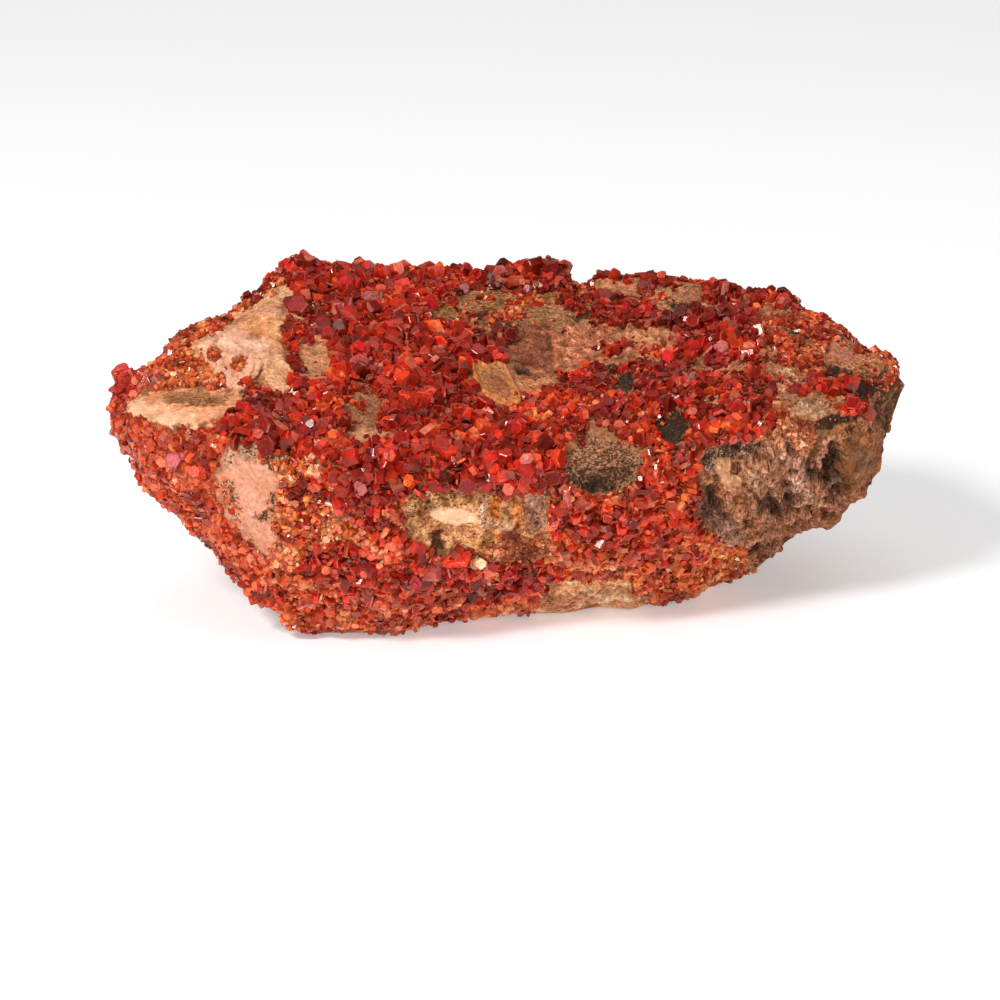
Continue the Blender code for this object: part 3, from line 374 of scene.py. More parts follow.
    ("tan streak", ellipse(508, 522, 7, 13, 6), (190, 136, 92), 4, 5, 0.35, 0.7, 0.0, 0.9),
    ("peach oval", ellipse(453, 517, 21, 9.0, 6), (255, 200, 158), 1.6, 1.4, 0.0, 0.05, 0.35, 1.0),
    ("ochre band", polygon((476, 544), (500, 538), (546, 536), (548, 552), (520, 558), (482, 556)), (226, 150, 72), 2.5, 3,
     0.1, 1.0, 0.3, 0.9),
    ("dark hole", polygon((433, 538), (441, 535), (448, 540), (449, 548), (444, 556), (437, 556), (432, 549)),
     (104, 62, 38), 5, 5, 0.4, 0.7, -0.9, 1.0),
    ("tan 312", ellipse(582, 545, 14, 7, 0), (198, 150, 104), 2, 3, 0.2, 0.8, 0.0, 0.55),
    ("bottom patch", polygon((533, 606), (540, 594), (556, 584), (600, 578), (626, 582), (642, 600), (648, 618),
                                     (600, 620), (560, 622), (536, 618)), (255, 178, 122), 2.2, 6, 0.16, 0.55, 0.2, 1.0),
    ("bottom patch dark", ellipse(562, 604, 20, 12, -10), (230, 156, 112), 5, 8, 0.36, 0.8, -0.3, 1.0),
    ("bottom patch pink", ellipse(606, 595, 24, 8, 4), (255, 200, 154), 4, 5, 0.14, 0.6, 0.2, 1.0),
    ("right face", polygon((700, 456), (716, 446), (764, 436), (776, 430), (800, 448), (830, 436), (900, 400), (905, 440),
                           (880, 520), (800, 580), (750, 600), (742, 566), (746, 548), (720, 532), (706, 530), (698, 500)),
     (206, 132, 88), 2.5, 4, 0.14, 0.6, 0.0, 1.0),
    ("face dendrites", polygon((700, 452), (722, 446), (764, 440), (770, 452), (752, 462), (728, 458), (706, 468)),
     (206, 158, 122), 3, 5, 0.80, 0.4, 0.0, 1.0),
    ("face light", polygon((732, 458), (768, 450), (800, 452), (822, 456), (820, 476), (796, 470), (770, 478), (742, 474)),
     (212, 146, 104), 6, 8, 0.22, 0.8, 0.2, 1.0),
    ("face mauve", ellipse(780, 488, 34, 32, 0), (206, 137, 96), 10, 8, 0.12, 0.8, 0.3, 1.0),
    # painted shadow on the left part of the right face
    ("face shadow", ellipse(712, 512, 13, 20, -10), (122, 80, 58), 6, 6, 0.4, 0.8, -0.9, 1.0),
    ("face foot", polygon((760, 546), (800, 520), (860, 490), (876, 470), (880, 490), (850, 515), (800, 545), (770, 570)),
     (160, 98, 66), 6, 4, 0.15, 0.7, 0.0, 1.0),
    ("groove", polygon((828, 444), (837, 442), (842, 462), (844, 500), (832, 506), (824, 480)), (64, 40, 28), 5, 3, 0.3, 0.6,
     -1.5, 1.0),
    ("lobe", polygon((842, 434), (866, 428), (884, 430), (882, 458), (872, 482), (852, 500), (842, 494), (844, 462)),
     (150, 90, 50), 3, 3, 0.12, 0.45, 0.8, 1.0),
    ("rim edge", polygon((888, 392), (908, 372), (908, 400), (896, 436), (884, 470), (880, 440), (884, 410)), (106, 68, 42),
     3, 3, 0.2, 0.7, 0.0, 0.9),
    ("limonite ground", polygon((776, 420), (798, 414), (816, 424), (816, 446), (802, 454), (790, 446)), (178, 112, 60),
     2.5, 3, 0.4, 1.0, 0.2, 0.95),
    ("face tan a", ellipse(797, 470, 12, 14), (226, 160, 130), 6, 6, 0.1, 0.7, 0.5, 1.0),
    ("face tan b", ellipse(753, 480, 10, 13), (214, 154, 114), 5, 6, 0.1, 0.6, 0.2, 1.0),
    ("face tan c", ellipse(727, 530, 12, 13, -30), (204, 146, 116), 5, 6, 0.25, 0.7, 0.4, 1.0),
    ("face tan d", ellipse(818, 503, 10, 9), (214, 142, 94), 5, 6, 0.1, 0.7, 0.4, 1.0),
    ("face pit a", ellipse(771, 503, 8, 10), (80, 44, 28), 6, 5, 0.3, 0.7, -1.1, 1.0),
    ("face pit b", ellipse(786, 500, 4, 13), (80, 44, 28), 5, 5, 0.3, 0.7, -0.8, 1.0),
    ("face pit c", ellipse(755, 546, 9, 6), (80, 44, 28), 5, 5, 0.3, 0.7, -0.8, 1.0),
    ("face pit d", ellipse(806, 517, 10, 5, -30), (80, 44, 28), 5, 5, 0.3, 0.7, -0.8, 1.0),
    ("face crack", ellipse(745, 521, 3.5, 13, 8), (78, 42, 26), 4, 5, 0.2, 0.7, -0.8, 1.0),
    ("face crack b", ellipse(812, 470, 3, 15, 3), (104, 62, 42), 4, 5, 0.2, 0.7, -0.5, 1.0),
    ("lobe top", ellipse(860, 432, 20, 9, 6), (192, 122, 72), 7, 7, 0.1, 0.6, 0.2, 1.0),
    ("lobe grey", ellipse(862, 462, 11, 16, 18), (140, 94, 62), 7, 5, 0.1, 0.4, 0.0, 1.0),
    ("face edge red", polygon((838, 500), (860, 486), (880, 470), (884, 484), (862, 500), (836, 516), (806, 530), (800, 520)),
     (170, 98, 68), 5, 5, 0.1, 0.8, 0.0, 1.0),
    ("yellow bit", ellipse(812, 447, 6, 5), (222, 168, 84), 1.5, 2, 0.05, 0.9, 0.4, 1.0),
]

# Druse fields: node, area, share covered, crystal radius low, high (mm), palette, share of tablets
FIELDS = [
    ("druse_right_top", polygon((560, 272), (606, 262), (720, 262), (800, 282), (826, 298), (850, 320), (892, 352),
                                (904, 376), (892, 404), (850, 412), (806, 424), (772, 440), (716, 447), (690, 449),
                                (640, 440), (604, 436), (560, 434), (540, 400), (548, 360), (560, 330), (552, 300)),
     0.18, 0.34, 0.85, "mixed", 0.45),
    ("druse_right_top", polygon((560, 368), (606, 370), (640, 366), (700, 360), (760, 360), (776, 384), (782, 430),
                                (764, 441), (716, 447), (692, 449), (640, 442), (604, 434), (562, 428)), 0.60, 0.45, 1.1,
     "deep", 0.5),
    ("druse_right_top", polygon((703, 305), (754, 300), (760, 340), (768, 366), (704, 372), (680, 350), (700, 330)), 0.60,
     0.5, 1.2, "red", 0.5),
    ("druse_right_top", polygon((562, 262), (592, 262), (592, 288), (562, 288)), 0.80, 0.30, 0.6, "mixed", 0.5),
    ("druse_right_top", ellipse(572, 300, 14, 10), 0.97, 0.5, 1.1, "deep", 0.5),
    ("druse_right_top", ellipse(624, 313, 28, 14), 0.95, 0.55, 1.4, "deep", 0.5),
    ("druse_right_top", ellipse(668, 350, 20, 15, -35), 0.97, 0.6, 1.3, "deep", 0.5),
    ("druse_right_top", ellipse(680, 328, 18, 13), 0.97, 0.6, 1.3, "deep", 0.5),
    ("druse_right_top", ellipse(736, 330, 25, 17, -20), 0.97, 0.6, 1.4, "deep", 0.5),
    ("druse_right_top", ellipse(590, 388, 24, 15), 0.95, 0.50, 1.2, "red", 0.5),
    ("druse_right_top", ellipse(658, 392, 26, 15), 0.95, 0.55, 1.3, "deep", 0.5),
    ("druse_right_top", ellipse(722, 384, 26, 12), 0.95, 0.5, 1.2, "red", 0.5),
    ("druse_right_top", ellipse(636, 426, 17, 17), 0.97, 0.5, 1.2, "bright", 0.5),
    ("druse_right_top", ellipse(696, 432, 12, 16), 0.97, 0.5, 1.2, "red", 0.5),
    ("druse_right_top", ellipse(742, 418, 27, 18), 0.97, 0.6, 1.4, "bright", 0.5),
    ("druse_right_top", polygon((584, 262), (606, 258), (628, 268), (622, 279), (592, 280)), 0.98, 0.7, 1.3, "deep", 0.5),
    ("druse_right_top", polygon((636, 264), (680, 268), (676, 288), (640, 290)), 0.97, 0.5, 1.15, "deep", 0.5),
    ("druse_right_top", polygon((700, 266), (720, 266), (812, 286), (808, 302), (750, 302), (704, 298)), 0.97, 0.5, 1.15,
     "deep", 0.5),
    ("druse_right_rim", ellipse(826, 386, 29, 10), 0.97, 0.5, 1.1, "bright", 0.4),
    ("druse_right_rim", ellipse(852, 409, 17, 7), 0.97, 0.5, 1.1, "bright", 0.4),
    ("druse_right_rim", polygon((878, 352), (892, 354), (902, 372), (898, 392), (886, 404), (880, 390), (884, 370)), 0.9,
     0.28, 0.48, "rust", 0.4),
    ("druse_right_top", polygon((756, 312), (800, 318), (846, 336), (862, 344), (846, 352), (800, 372), (770, 368)), 0.52,
     0.28, 0.66, "rust", 0.3),
    ("druse_right_top", polygon((786, 296), (812, 300), (850, 326), (868, 344), (840, 346), (800, 326)), 0.85, 0.32, 0.6,
     "rust", 0.2),
    ("druse_left_shoulder", polygon((146, 376), (160, 344), (184, 322), (206, 306), (236, 292), (262, 270), (300, 246),
                                    (310, 262), (290, 284), (262, 300), (236, 318), (214, 332), (200, 344), (206, 366),
                                    (226, 384), (240, 398), (214, 398), (180, 392), (150, 394)), 0.80, 0.34, 0.78,
     "amber", 0.25),
    ("druse_left_shoulder", polygon((226, 306), (234, 290), (252, 280), (262, 290), (256, 304), (238, 312)), 0.95, 0.40,
     0.80, "deep", 0.3),
    ("druse_left_shoulder", polygon((262, 280), (282, 262), (300, 246), (308, 262), (288, 280), (272, 292)), 0.9, 0.5, 1.0,
     "deep", 0.3),
    ("druse_left_shoulder", polygon((232, 391), (250, 388), (276, 389), (290, 394), (284, 402), (250, 402), (234, 400)),
     0.95, 0.32, 0.75, "fire", 0.3),
    ("druse_left_tip", polygon((90, 350), (130, 346), (150, 372), (146, 396), (132, 404), (138, 424), (120, 440),
                               (90, 420)), 1.0, 0.6, 1.3, "rose", 0.35),
    ("druse_left_flank", polygon((90, 404), (120, 404), (136, 416), (170, 426), (205, 424), (236, 408), (244, 440),
                                 (236, 452), (232, 470), (238, 500), (256, 535), (280, 548), (298, 566), (296, 600),
                                 (300, 660), (240, 650), (180, 590), (110, 520)), 1.0, 0.34, 0.95, "salmon", 0.80),
    ("druse_left_flank", polygon((120, 404), (170, 426), (208, 424), (214, 470), (190, 486), (150, 470), (120, 440)), 1.0,
     0.40, 1.25, "salmon", 0.80),
    ("druse_lower_front", polygon((252, 456), (300, 452), (340, 466), (408, 482), (414, 500), (412, 545), (330, 556),
                                  (298, 578), (276, 560), (256, 520), (258, 490)), 0.93, 0.30, 0.78, "gold", 0.40),
    ("druse_lower_front", polygon((300, 466), (340, 470), (396, 488), (400, 512), (366, 520), (330, 506), (300, 492)), 0.97,
     0.45, 1.05, "mauve", 0.5),
    ("druse_lower_front", polygon((296, 560), (330, 545), (404, 530), (420, 544), (440, 552), (500, 556), (548, 552),
                                  (550, 590), (536, 600), (540, 640), (470, 650), (400, 660), (300, 660), (290, 600)), 0.93,
     0.45, 1.25, "dark", 0.55),
    ("druse_lower_front", polygon((280, 596), (330, 606), (420, 600), (470, 598), (540, 592), (550, 640), (400, 665),
                                  (280, 665)), 0.97, 0.36, 0.9, "foot", 0.5),
    ("druse_lower_front", polygon((262, 560), (296, 572), (330, 560), (344, 574), (326, 600), (290, 606), (262, 590)), 0.97,
     0.36, 0.95, "foot", 0.5),
    ("druse_centre", polygon((284, 250), (296, 240), (420, 240), (476, 252), (486, 300), (470, 310), (476, 330), (506, 340),
                             (508, 362), (476, 362), (470, 380), (490, 402), (520, 412), (552, 426), (566, 440),
                             (562, 480), (548, 494), (470, 494), (400, 494), (340, 486), (300, 464), (262, 452),
                             (226, 450), (228, 420), (250, 398), (288, 392), (294, 372), (286, 350), (284, 320),
                             (296, 306), (284, 284)), 0.98, 0.52, 1.65, "red", 0.5),
    ("druse_centre", polygon((430, 300), (470, 280), (545, 285), (552, 300), (545, 322), (500, 330), (440, 322)), 0.45,
     0.32, 0.9, "rust", 0.4),
    ("druse_centre", polygon((470, 268), (500, 256), (545, 244), (564, 248), (568, 288), (540, 292), (500, 288)), 0.98, 0.6,
     1.6, "deep", 0.45),
    ("druse_centre", polygon((508, 398), (560, 380), (600, 400), (566, 440), (540, 446), (512, 430)), 0.8, 0.35, 0.95,
     "fire", 0.4),
    ("druse_front_right", polygon((545, 480), (566, 470), (580, 486), (610, 494), (640, 480), (648, 450), (692, 446),
                                  (702, 470), (702, 524), (720, 545), (716, 590), (690, 612), (650, 606), (640, 584),
                                  (600, 578), (556, 582), (536, 596), (545, 560), (548, 520)), 0.93, 0.34, 1.15, "fire", 0.55),
    ("druse_front_right", polygon((556, 566), (640, 560), (712, 560), (716, 600), (650, 622), (640, 596), (560, 584)), 0.95,
     0.38, 0.75, "ember", 0.35),
    ("druse_foot_right", polygon((700, 534), (742, 538), (760, 556), (746, 582), (700, 598), (690, 570)), 0.88, 0.32, 0.66,
     "apricot", 0.3),
]

GRANULES = [
    ("ochre_crust", polygon((482, 546), (496, 540), (512, 530), (528, 540), (546, 538), (548, 552), (534, 556), (516, 555),
                            (498, 556), (484, 553)), 1.0, 0.24, 0.50, "ochre", 0.2),
    ("druse_left_shoulder", ellipse(214, 357, 5.5, 5), 1.0, 0.24, 0.46, "ochre", 0.2),
    ("druse_left_shoulder", ellipse(237, 366, 5.0, 4.5), 1.0, 0.24, 0.46, "ochre", 0.2),
    ("druse_left_shoulder", ellipse(212, 384, 9, 6), 1.0, 0.28, 0.60, "amber", 0.2),
    ("limonite_patch", polygon((774, 421), (786, 417), (800, 416), (812, 422), (816, 436), (814, 450), (804, 454),
                               (794, 448), (788, 436), (778, 430)), 0.62, 0.22, 0.44, "ochre", 0.2),
]

PALETTES = {   # sRGB colours and their shares
    "red": [((140, 12, 8), 4), ((158, 20, 9), 4), ((176, 34, 12), 2.4), ((200, 64, 20), 1.2), ((108, 8, 8), 2.4)],
    "deep": [((120, 9, 8), 4), ((140, 14, 9), 4), ((160, 26, 12), 2), ((188, 54, 20), 0.9), ((90, 7, 7), 2.4)],
    "bright": [((164, 24, 10), 4), ((184, 42, 13), 3), ((138, 13, 9), 2.4), ((206, 78, 24), 1.4)],
    "dark": [((160, 18, 12), 3), ((184, 36, 18), 3), ((204, 68, 34), 2.2), ((226, 122, 76), 1.6), ((94, 7, 7), 2.8)],
    "mauve": [((158, 20, 14), 3), ((180, 38, 22), 3), ((118, 11, 9), 2.6), ((202, 76, 36), 1.6)],
    "foot": [((184, 56, 26), 2), ((206, 90, 44), 3), ((140, 24, 14), 2.0), ((222, 132, 80), 2)],
    "mixed": [((138, 16, 10), 4), ((158, 32, 13), 3), ((110, 10, 9), 2), ((196, 84, 32), 1)],
    "salmon": [((186, 64, 26), 4), ((194, 78, 36), 3.4), ((170, 44, 17), 2.6), ((206, 96, 60), 1.8), ((128, 17, 9), 2.2)],
    "rose": [((168, 48, 34), 3), ((190, 82, 56), 2.6), ((138, 20, 16), 2.2)],
    "gold": [((208, 106, 46), 4), ((224, 146, 86), 3), ((190, 70, 34), 3), ((136, 26, 16), 2.2), ((234, 164, 120), 2.0)],
    "fire": [((182, 43, 14), 4), ((161, 27, 11), 3.4), ((202, 78, 27), 2.6), ((118, 13, 9), 2.4), ((218, 120, 62), 1.0)],
    "amber": [((182, 84, 34), 3), ((198, 106, 52), 3), ((142, 54, 24), 2.2), ((172, 52, 20), 1.8), ((216, 140, 88), 1.0)],
    "apricot": [((204, 104, 38), 3), ((220, 136, 64), 3), ((162, 60, 22), 2.2), ((192, 60, 22), 1.8), ((226, 146, 88), 1.2)],
    "rust": [((162, 50, 21), 3), ((186, 84, 36), 2.2), ((130, 24, 12), 3.2), ((206, 122, 74), 1.1)],
    "ember": [((180, 64, 22), 3), ((204, 100, 38), 2.4), ((142, 28, 12), 3), ((216, 130, 76), 1.2)],
    "dust": [((190, 80, 30), 3), ((206, 108, 48), 3), ((168, 46, 18), 3), ((214, 132, 84), 1.2), ((128, 22, 13), 1.8)],
    "ochre": [((160, 86, 44), 3), ((174, 108, 62), 3), ((134, 62, 30), 2.6), ((200, 142, 96), 1)],
}
# ground colour between the crystals of each palette; the dark ones under the red, deep and dark fields are partly
# painted shade of the gaps
GROUND = {"red": (104, 36, 22), "deep": (82, 28, 20), "bright": (140, 54, 28), "dark": (84, 32, 22), "mauve": (96, 44, 28),
          "foot": (156, 84, 52), "mixed": (156, 86, 54), "salmon": (190, 84, 44), "rose": (146, 50, 30),
          "gold": (184, 108, 54), "fire": (164, 74, 32), "amber": (178, 104, 54), "apricot": (190, 112, 60), "rust": (166, 94, 50),
          "ember": (172, 92, 46),
          "dust": (170, 96, 50), "ochre": (176, 112, 58)}
PALETTE_NAMES = list(PALETTES)
PIECES = ["druse_left_flank", "druse_left_tip", "druse_left_shoulder", "druse_centre", "druse_lower_front",
          "druse_front_right", "druse_right_top", "druse_right_rim", "druse_foot_right", "druse_back_rim",
          "ochre_crust", "limonite_patch"]


def seen_from_front(points, normals):
    eye = np.array([SIGHT_X, -SIGHT_DISTANCE * math.cos(SIGHT_TILT), SIGHT_Z + SIGHT_DISTANCE * math.sin(SIGHT_TILT)])
    way = eye - points
    way /= np.linalg.norm(way, axis=1, keepdims=True)
    return np.sum(way * normals, 1)


# --------------------------------------------------------------- the host rock
TOP_CELLS, FRONT_CELLS, FOOT_CELLS, BACK_CELLS, STATIONS = ((106, 126, 14, 44, 400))


def rock_points():
    around = np.concatenate([np.linspace(0.0, 0.36, TOP_CELLS + 1)[:-1], np.linspace(0.36, 0.60, FRONT_CELLS + 1)[:-1],
                             np.linspace(0.60, 0.76, FOOT_CELLS + 1)[:-1], np.linspace(0.76, 1.0, BACK_CELLS + 1)[:-1]])
    t = np.linspace(0.0, 1.0, STATIONS)
    xs = LEFT_END + (RIGHT_END - LEFT_END) * (0.80 * t + 0.20 * (0.5 - 0.5 * np.cos(math.pi * t)))
    grid = np.zeros((STATIONS, len(around), 3))
    for i, x in enumerate(xs):
        points = ring_points(x)
        grid[i, :, 0] = x
        grid[i, :, 1] = smooth_curve(RING, [p.x for p in points])(around)
        grid[i, :, 2] = smooth_curve(RING, [p.y for p in points])(around)
    return grid


def grid_normals(grid):
    across = np.gradient(grid, axis=0)
    along = np.roll(grid, -1, axis=1) - np.roll(grid, 1, axis=1)
    normal = np.cross(along, across)
    normal /= np.maximum(np.linalg.norm(normal, axis=2, keepdims=True), 1e-12)
    if np.sum(normal * (grid - grid.mean(axis=1, keepdims=True))) < 0:
        normal = -normal
    return normal


class Surface:
    """Everything known at the points of the rock: readings, noise, areas, cover."""

    def __init__(self, points, normals):
        self.p, self.nm, self.n = points, normals, len(points)
        self.u, self.v = reading(points)
        self.front = seen_from_front(points, normals)
        self.facing = smoothstep(-0.06, 0.10, self.front)
        self.bank = [perlin(points, 300.0, 101), perlin(points, 310.0, 102), perlin(points, 880.0, 103),
                     perlin(points, 920.0, 104)]
        self.n62, self.n150 = perlin(points, 62.0, 1), perlin(points, 150.0, 2)
        self.fine = perlin(points, 1700.0, 105)
        self.masks = {}
        for k, row in enumerate(PLACES):
            self.masks[row[0]] = self.mask(row[1], row[3], row[4], k)
        self.fields()

    def inside(self, area, amount, k):
        a, b = math.cos(k * 2.399), math.sin(k * 2.399)
        wobble = amount * (1.5 * (a * self.bank[0] + b * self.bank[1]) + 1.3 * (b * self.bank[2] - a * self.bank[3])
                           + 0.6 * self.fine)
        return area(self.u, self.v) + wobble

    def mask(self, area, soft, amount, k, wider=0.0):
        return smoothstep(-soft * 0.5, soft * 0.5, self.inside(area, amount, k) + wider) * self.facing

    def fields(self):
        """Share covered, crystal sizes, palette, share of tablets and piece at each point."""
        n, p = self.n, self.p
        cover, low, high = np.zeros(n), np.full(n, 0.4), np.full(n, 0.8)
        palette, tablets = np.zeros(n, int), np.full(n, 0.4)
        piece = np.full(n, PIECES.index("druse_right_top"))
        wobble = 11.0 * self.n150 + 12.0 * self.bank[0] + 7.0 * self.bank[2]
        for name, area, share, r0, r1, pal, tab in FIELDS:
            inside = (area(self.u, self.v) + wobble > 0) & (self.front > -0.02)
            cover[inside], low[inside], high[inside] = share, r0, r1
            palette[inside], tablets[inside], piece[inside] = PALETTE_NAMES.index(pal), tab, PIECES.index(name)
        # crystals grow in clumps where they cover only part of the ground
        clump = perlin(p, 175.0, 201) * 0.75 + perlin(p, 420.0, 202) * 0.45
        chance = smoothstep(-0.10, 0.10, clump + (cover - 0.5) * 0.95)
        cover = np.where(cover > 0.985, 1.0, np.where(cover > 0, chance, 0.0))
        gaps = smoothstep(0.25, 0.36, perlin(p, 190.0, 203) + 0.25 * self.bank[2]) * 0.92
        cover = cover * (1 - gaps * (high > 0.95))
        crevice = smoothstep(0.22, 0.32, perlin(p, 430.0, 204) + 0.20 * self.bank[2]) * 0.95
        broken_up = np.isin(palette, [PALETTE_NAMES.index(k) for k in ("fire", "dark", "gold", "rust", "ember", "foot", "mauve", "amber", "apricot")])
        cover = cover * (1 - crevice * broken_up)
        bare = np.zeros(n)
        for k, row in enumerate(PLACES):
            if row[8] > 0:
                m = self.mask(row[1], row[3], row[4], k, 2.8)
                bare = bare * (1 - m) + m * row[8]
        cover = cover * (1 - smoothstep(0.05, 0.95, bare))
        for name, area, share, r0, r1, pal, tab in GRANULES:
            inside = (area(self.u, self.v) + 0.3 * wobble > 0) & (self.front > -0.02)
            cover[inside], low[inside], high[inside] = share, r0, r1
            palette[inside], tablets[inside], piece[inside] = PALETTE_NAMES.index(pal), tab, PIECES.index(name)
        # what the outline view doesn't show: the druse laps over the back edge and left end, patches sit lower down
        hidden = self.front <= -0.02
        rim = smoothstep(0.030, 0.040, p[:, 2] + 0.006 * perlin(p, 90.0, 3) - 0.00012 * np.abs(p[:, 0] * 1000))
        patch = smoothstep(0.12, 0.30, perlin(p, 55.0, 9))
        flank = smoothstep(-0.040, -0.052, p[:, 0] + 0.010 * perlin(p, 80.0, 12))
        share = np.maximum(np.maximum(rim * 0.97, patch * 0.75 * (p[:, 2] > 0.006)), flank * 0.97)
        share *= smoothstep(0.0015, 0.004, p[:, 2])
        share = smoothstep(-0.16, 0.10, clump + (share - 0.5) * 1.3) * (share > 0.05)
        self.cover = np.where(hidden, share, cover)
        self.low = np.where(hidden, 0.50, low)
        shoulder = hidden & (self.u > 140) & (self.u < 232) & (p[:, 0] < 0)
        right_end = hidden & ((self.u > 800) | ((self.u > 563) & (self.u < 592)))
        self.high = np.where(hidden, np.where(rim > 0.5, 1.3, 0.85), high)
        self.high = np.where(shoulder | right_end, 0.55, self.high)
        self.low = np.where(shoulder | right_end, 0.30, self.low)
        pal = np.where(rim > 0.5, PALETTE_NAMES.index("red"), np.where(flank > 0.5, PALETTE_NAMES.index("salmon"),
                                                                     PALETTE_NAMES.index("rust")))
        pal = np.where(shoulder, PALETTE_NAMES.index("amber"), np.where(right_end, PALETTE_NAMES.index("rust"), pal))
        self.palette = np.where(hidden, pal, palette)
        self.tablets = tablets
        behind = np.where(flank > 0.5, PIECES.index("druse_left_flank"), PIECES.index("druse_back_rim"))
        self.piece = np.where(hidden, np.where(shoulder, PIECES.index("druse_left_shoulder"), behind), piece)
        self.clump = clump


LUMPS = [(308, 268, 12, 14, 1.8), (550, 272, 12, 12, 2.0),  (608, 276, 14, 10, 1.7),
         (652, 280, 26, 8, 1.5), (700, 290, 30, 8, 1.2), (750, 296, 30, 8, 1.3), (792, 292, 18, 8, 1.5),
         (190, 322, 26, 12, -1.0), (155, 352, 12, 12, -0.7), (142, 370, 9, 8, 1.1), (900, 420, 16, 30, -1.1), (890, 364, 16, 12, 1.3), (838, 514, 26, 14, -1.5), (254, 602, 22, 12, 2.0), (112, 400, 9, 22, 0.6), (282, 274, 12, 10, 0.6), (345, 285, 20, 14, 0.8), (440, 268, 20, 8, 0.6),
         (505, 270, 18, 8, 0.6), (262, 430, 18, 14, 0.9), (120, 372, 12, 14, 0.8), (716, 504, 13, 24, -1.5),
         (775, 488, 30, 36, 0.9), (745, 520, 14, 16, 0.7), (800, 470, 12, 24, 0.8), (440, 400, 26, 18, 0.9),
         (520, 455, 30, 18, 0.8), (400, 330, 26, 16, 0.7), (700, 330, 30, 14, 0.8), (745, 420, 20, 12, 0.7),
         (640, 420, 16, 12, 0.6), (250, 405, 20, 10, 0.8), (330, 470, 24, 14, 0.6), (360, 600, 30, 20, 0.8),
         (600, 530, 26, 18, 0.6), (660, 560, 22, 18, 0.7), (440, 590, 26, 14, 0.6)]


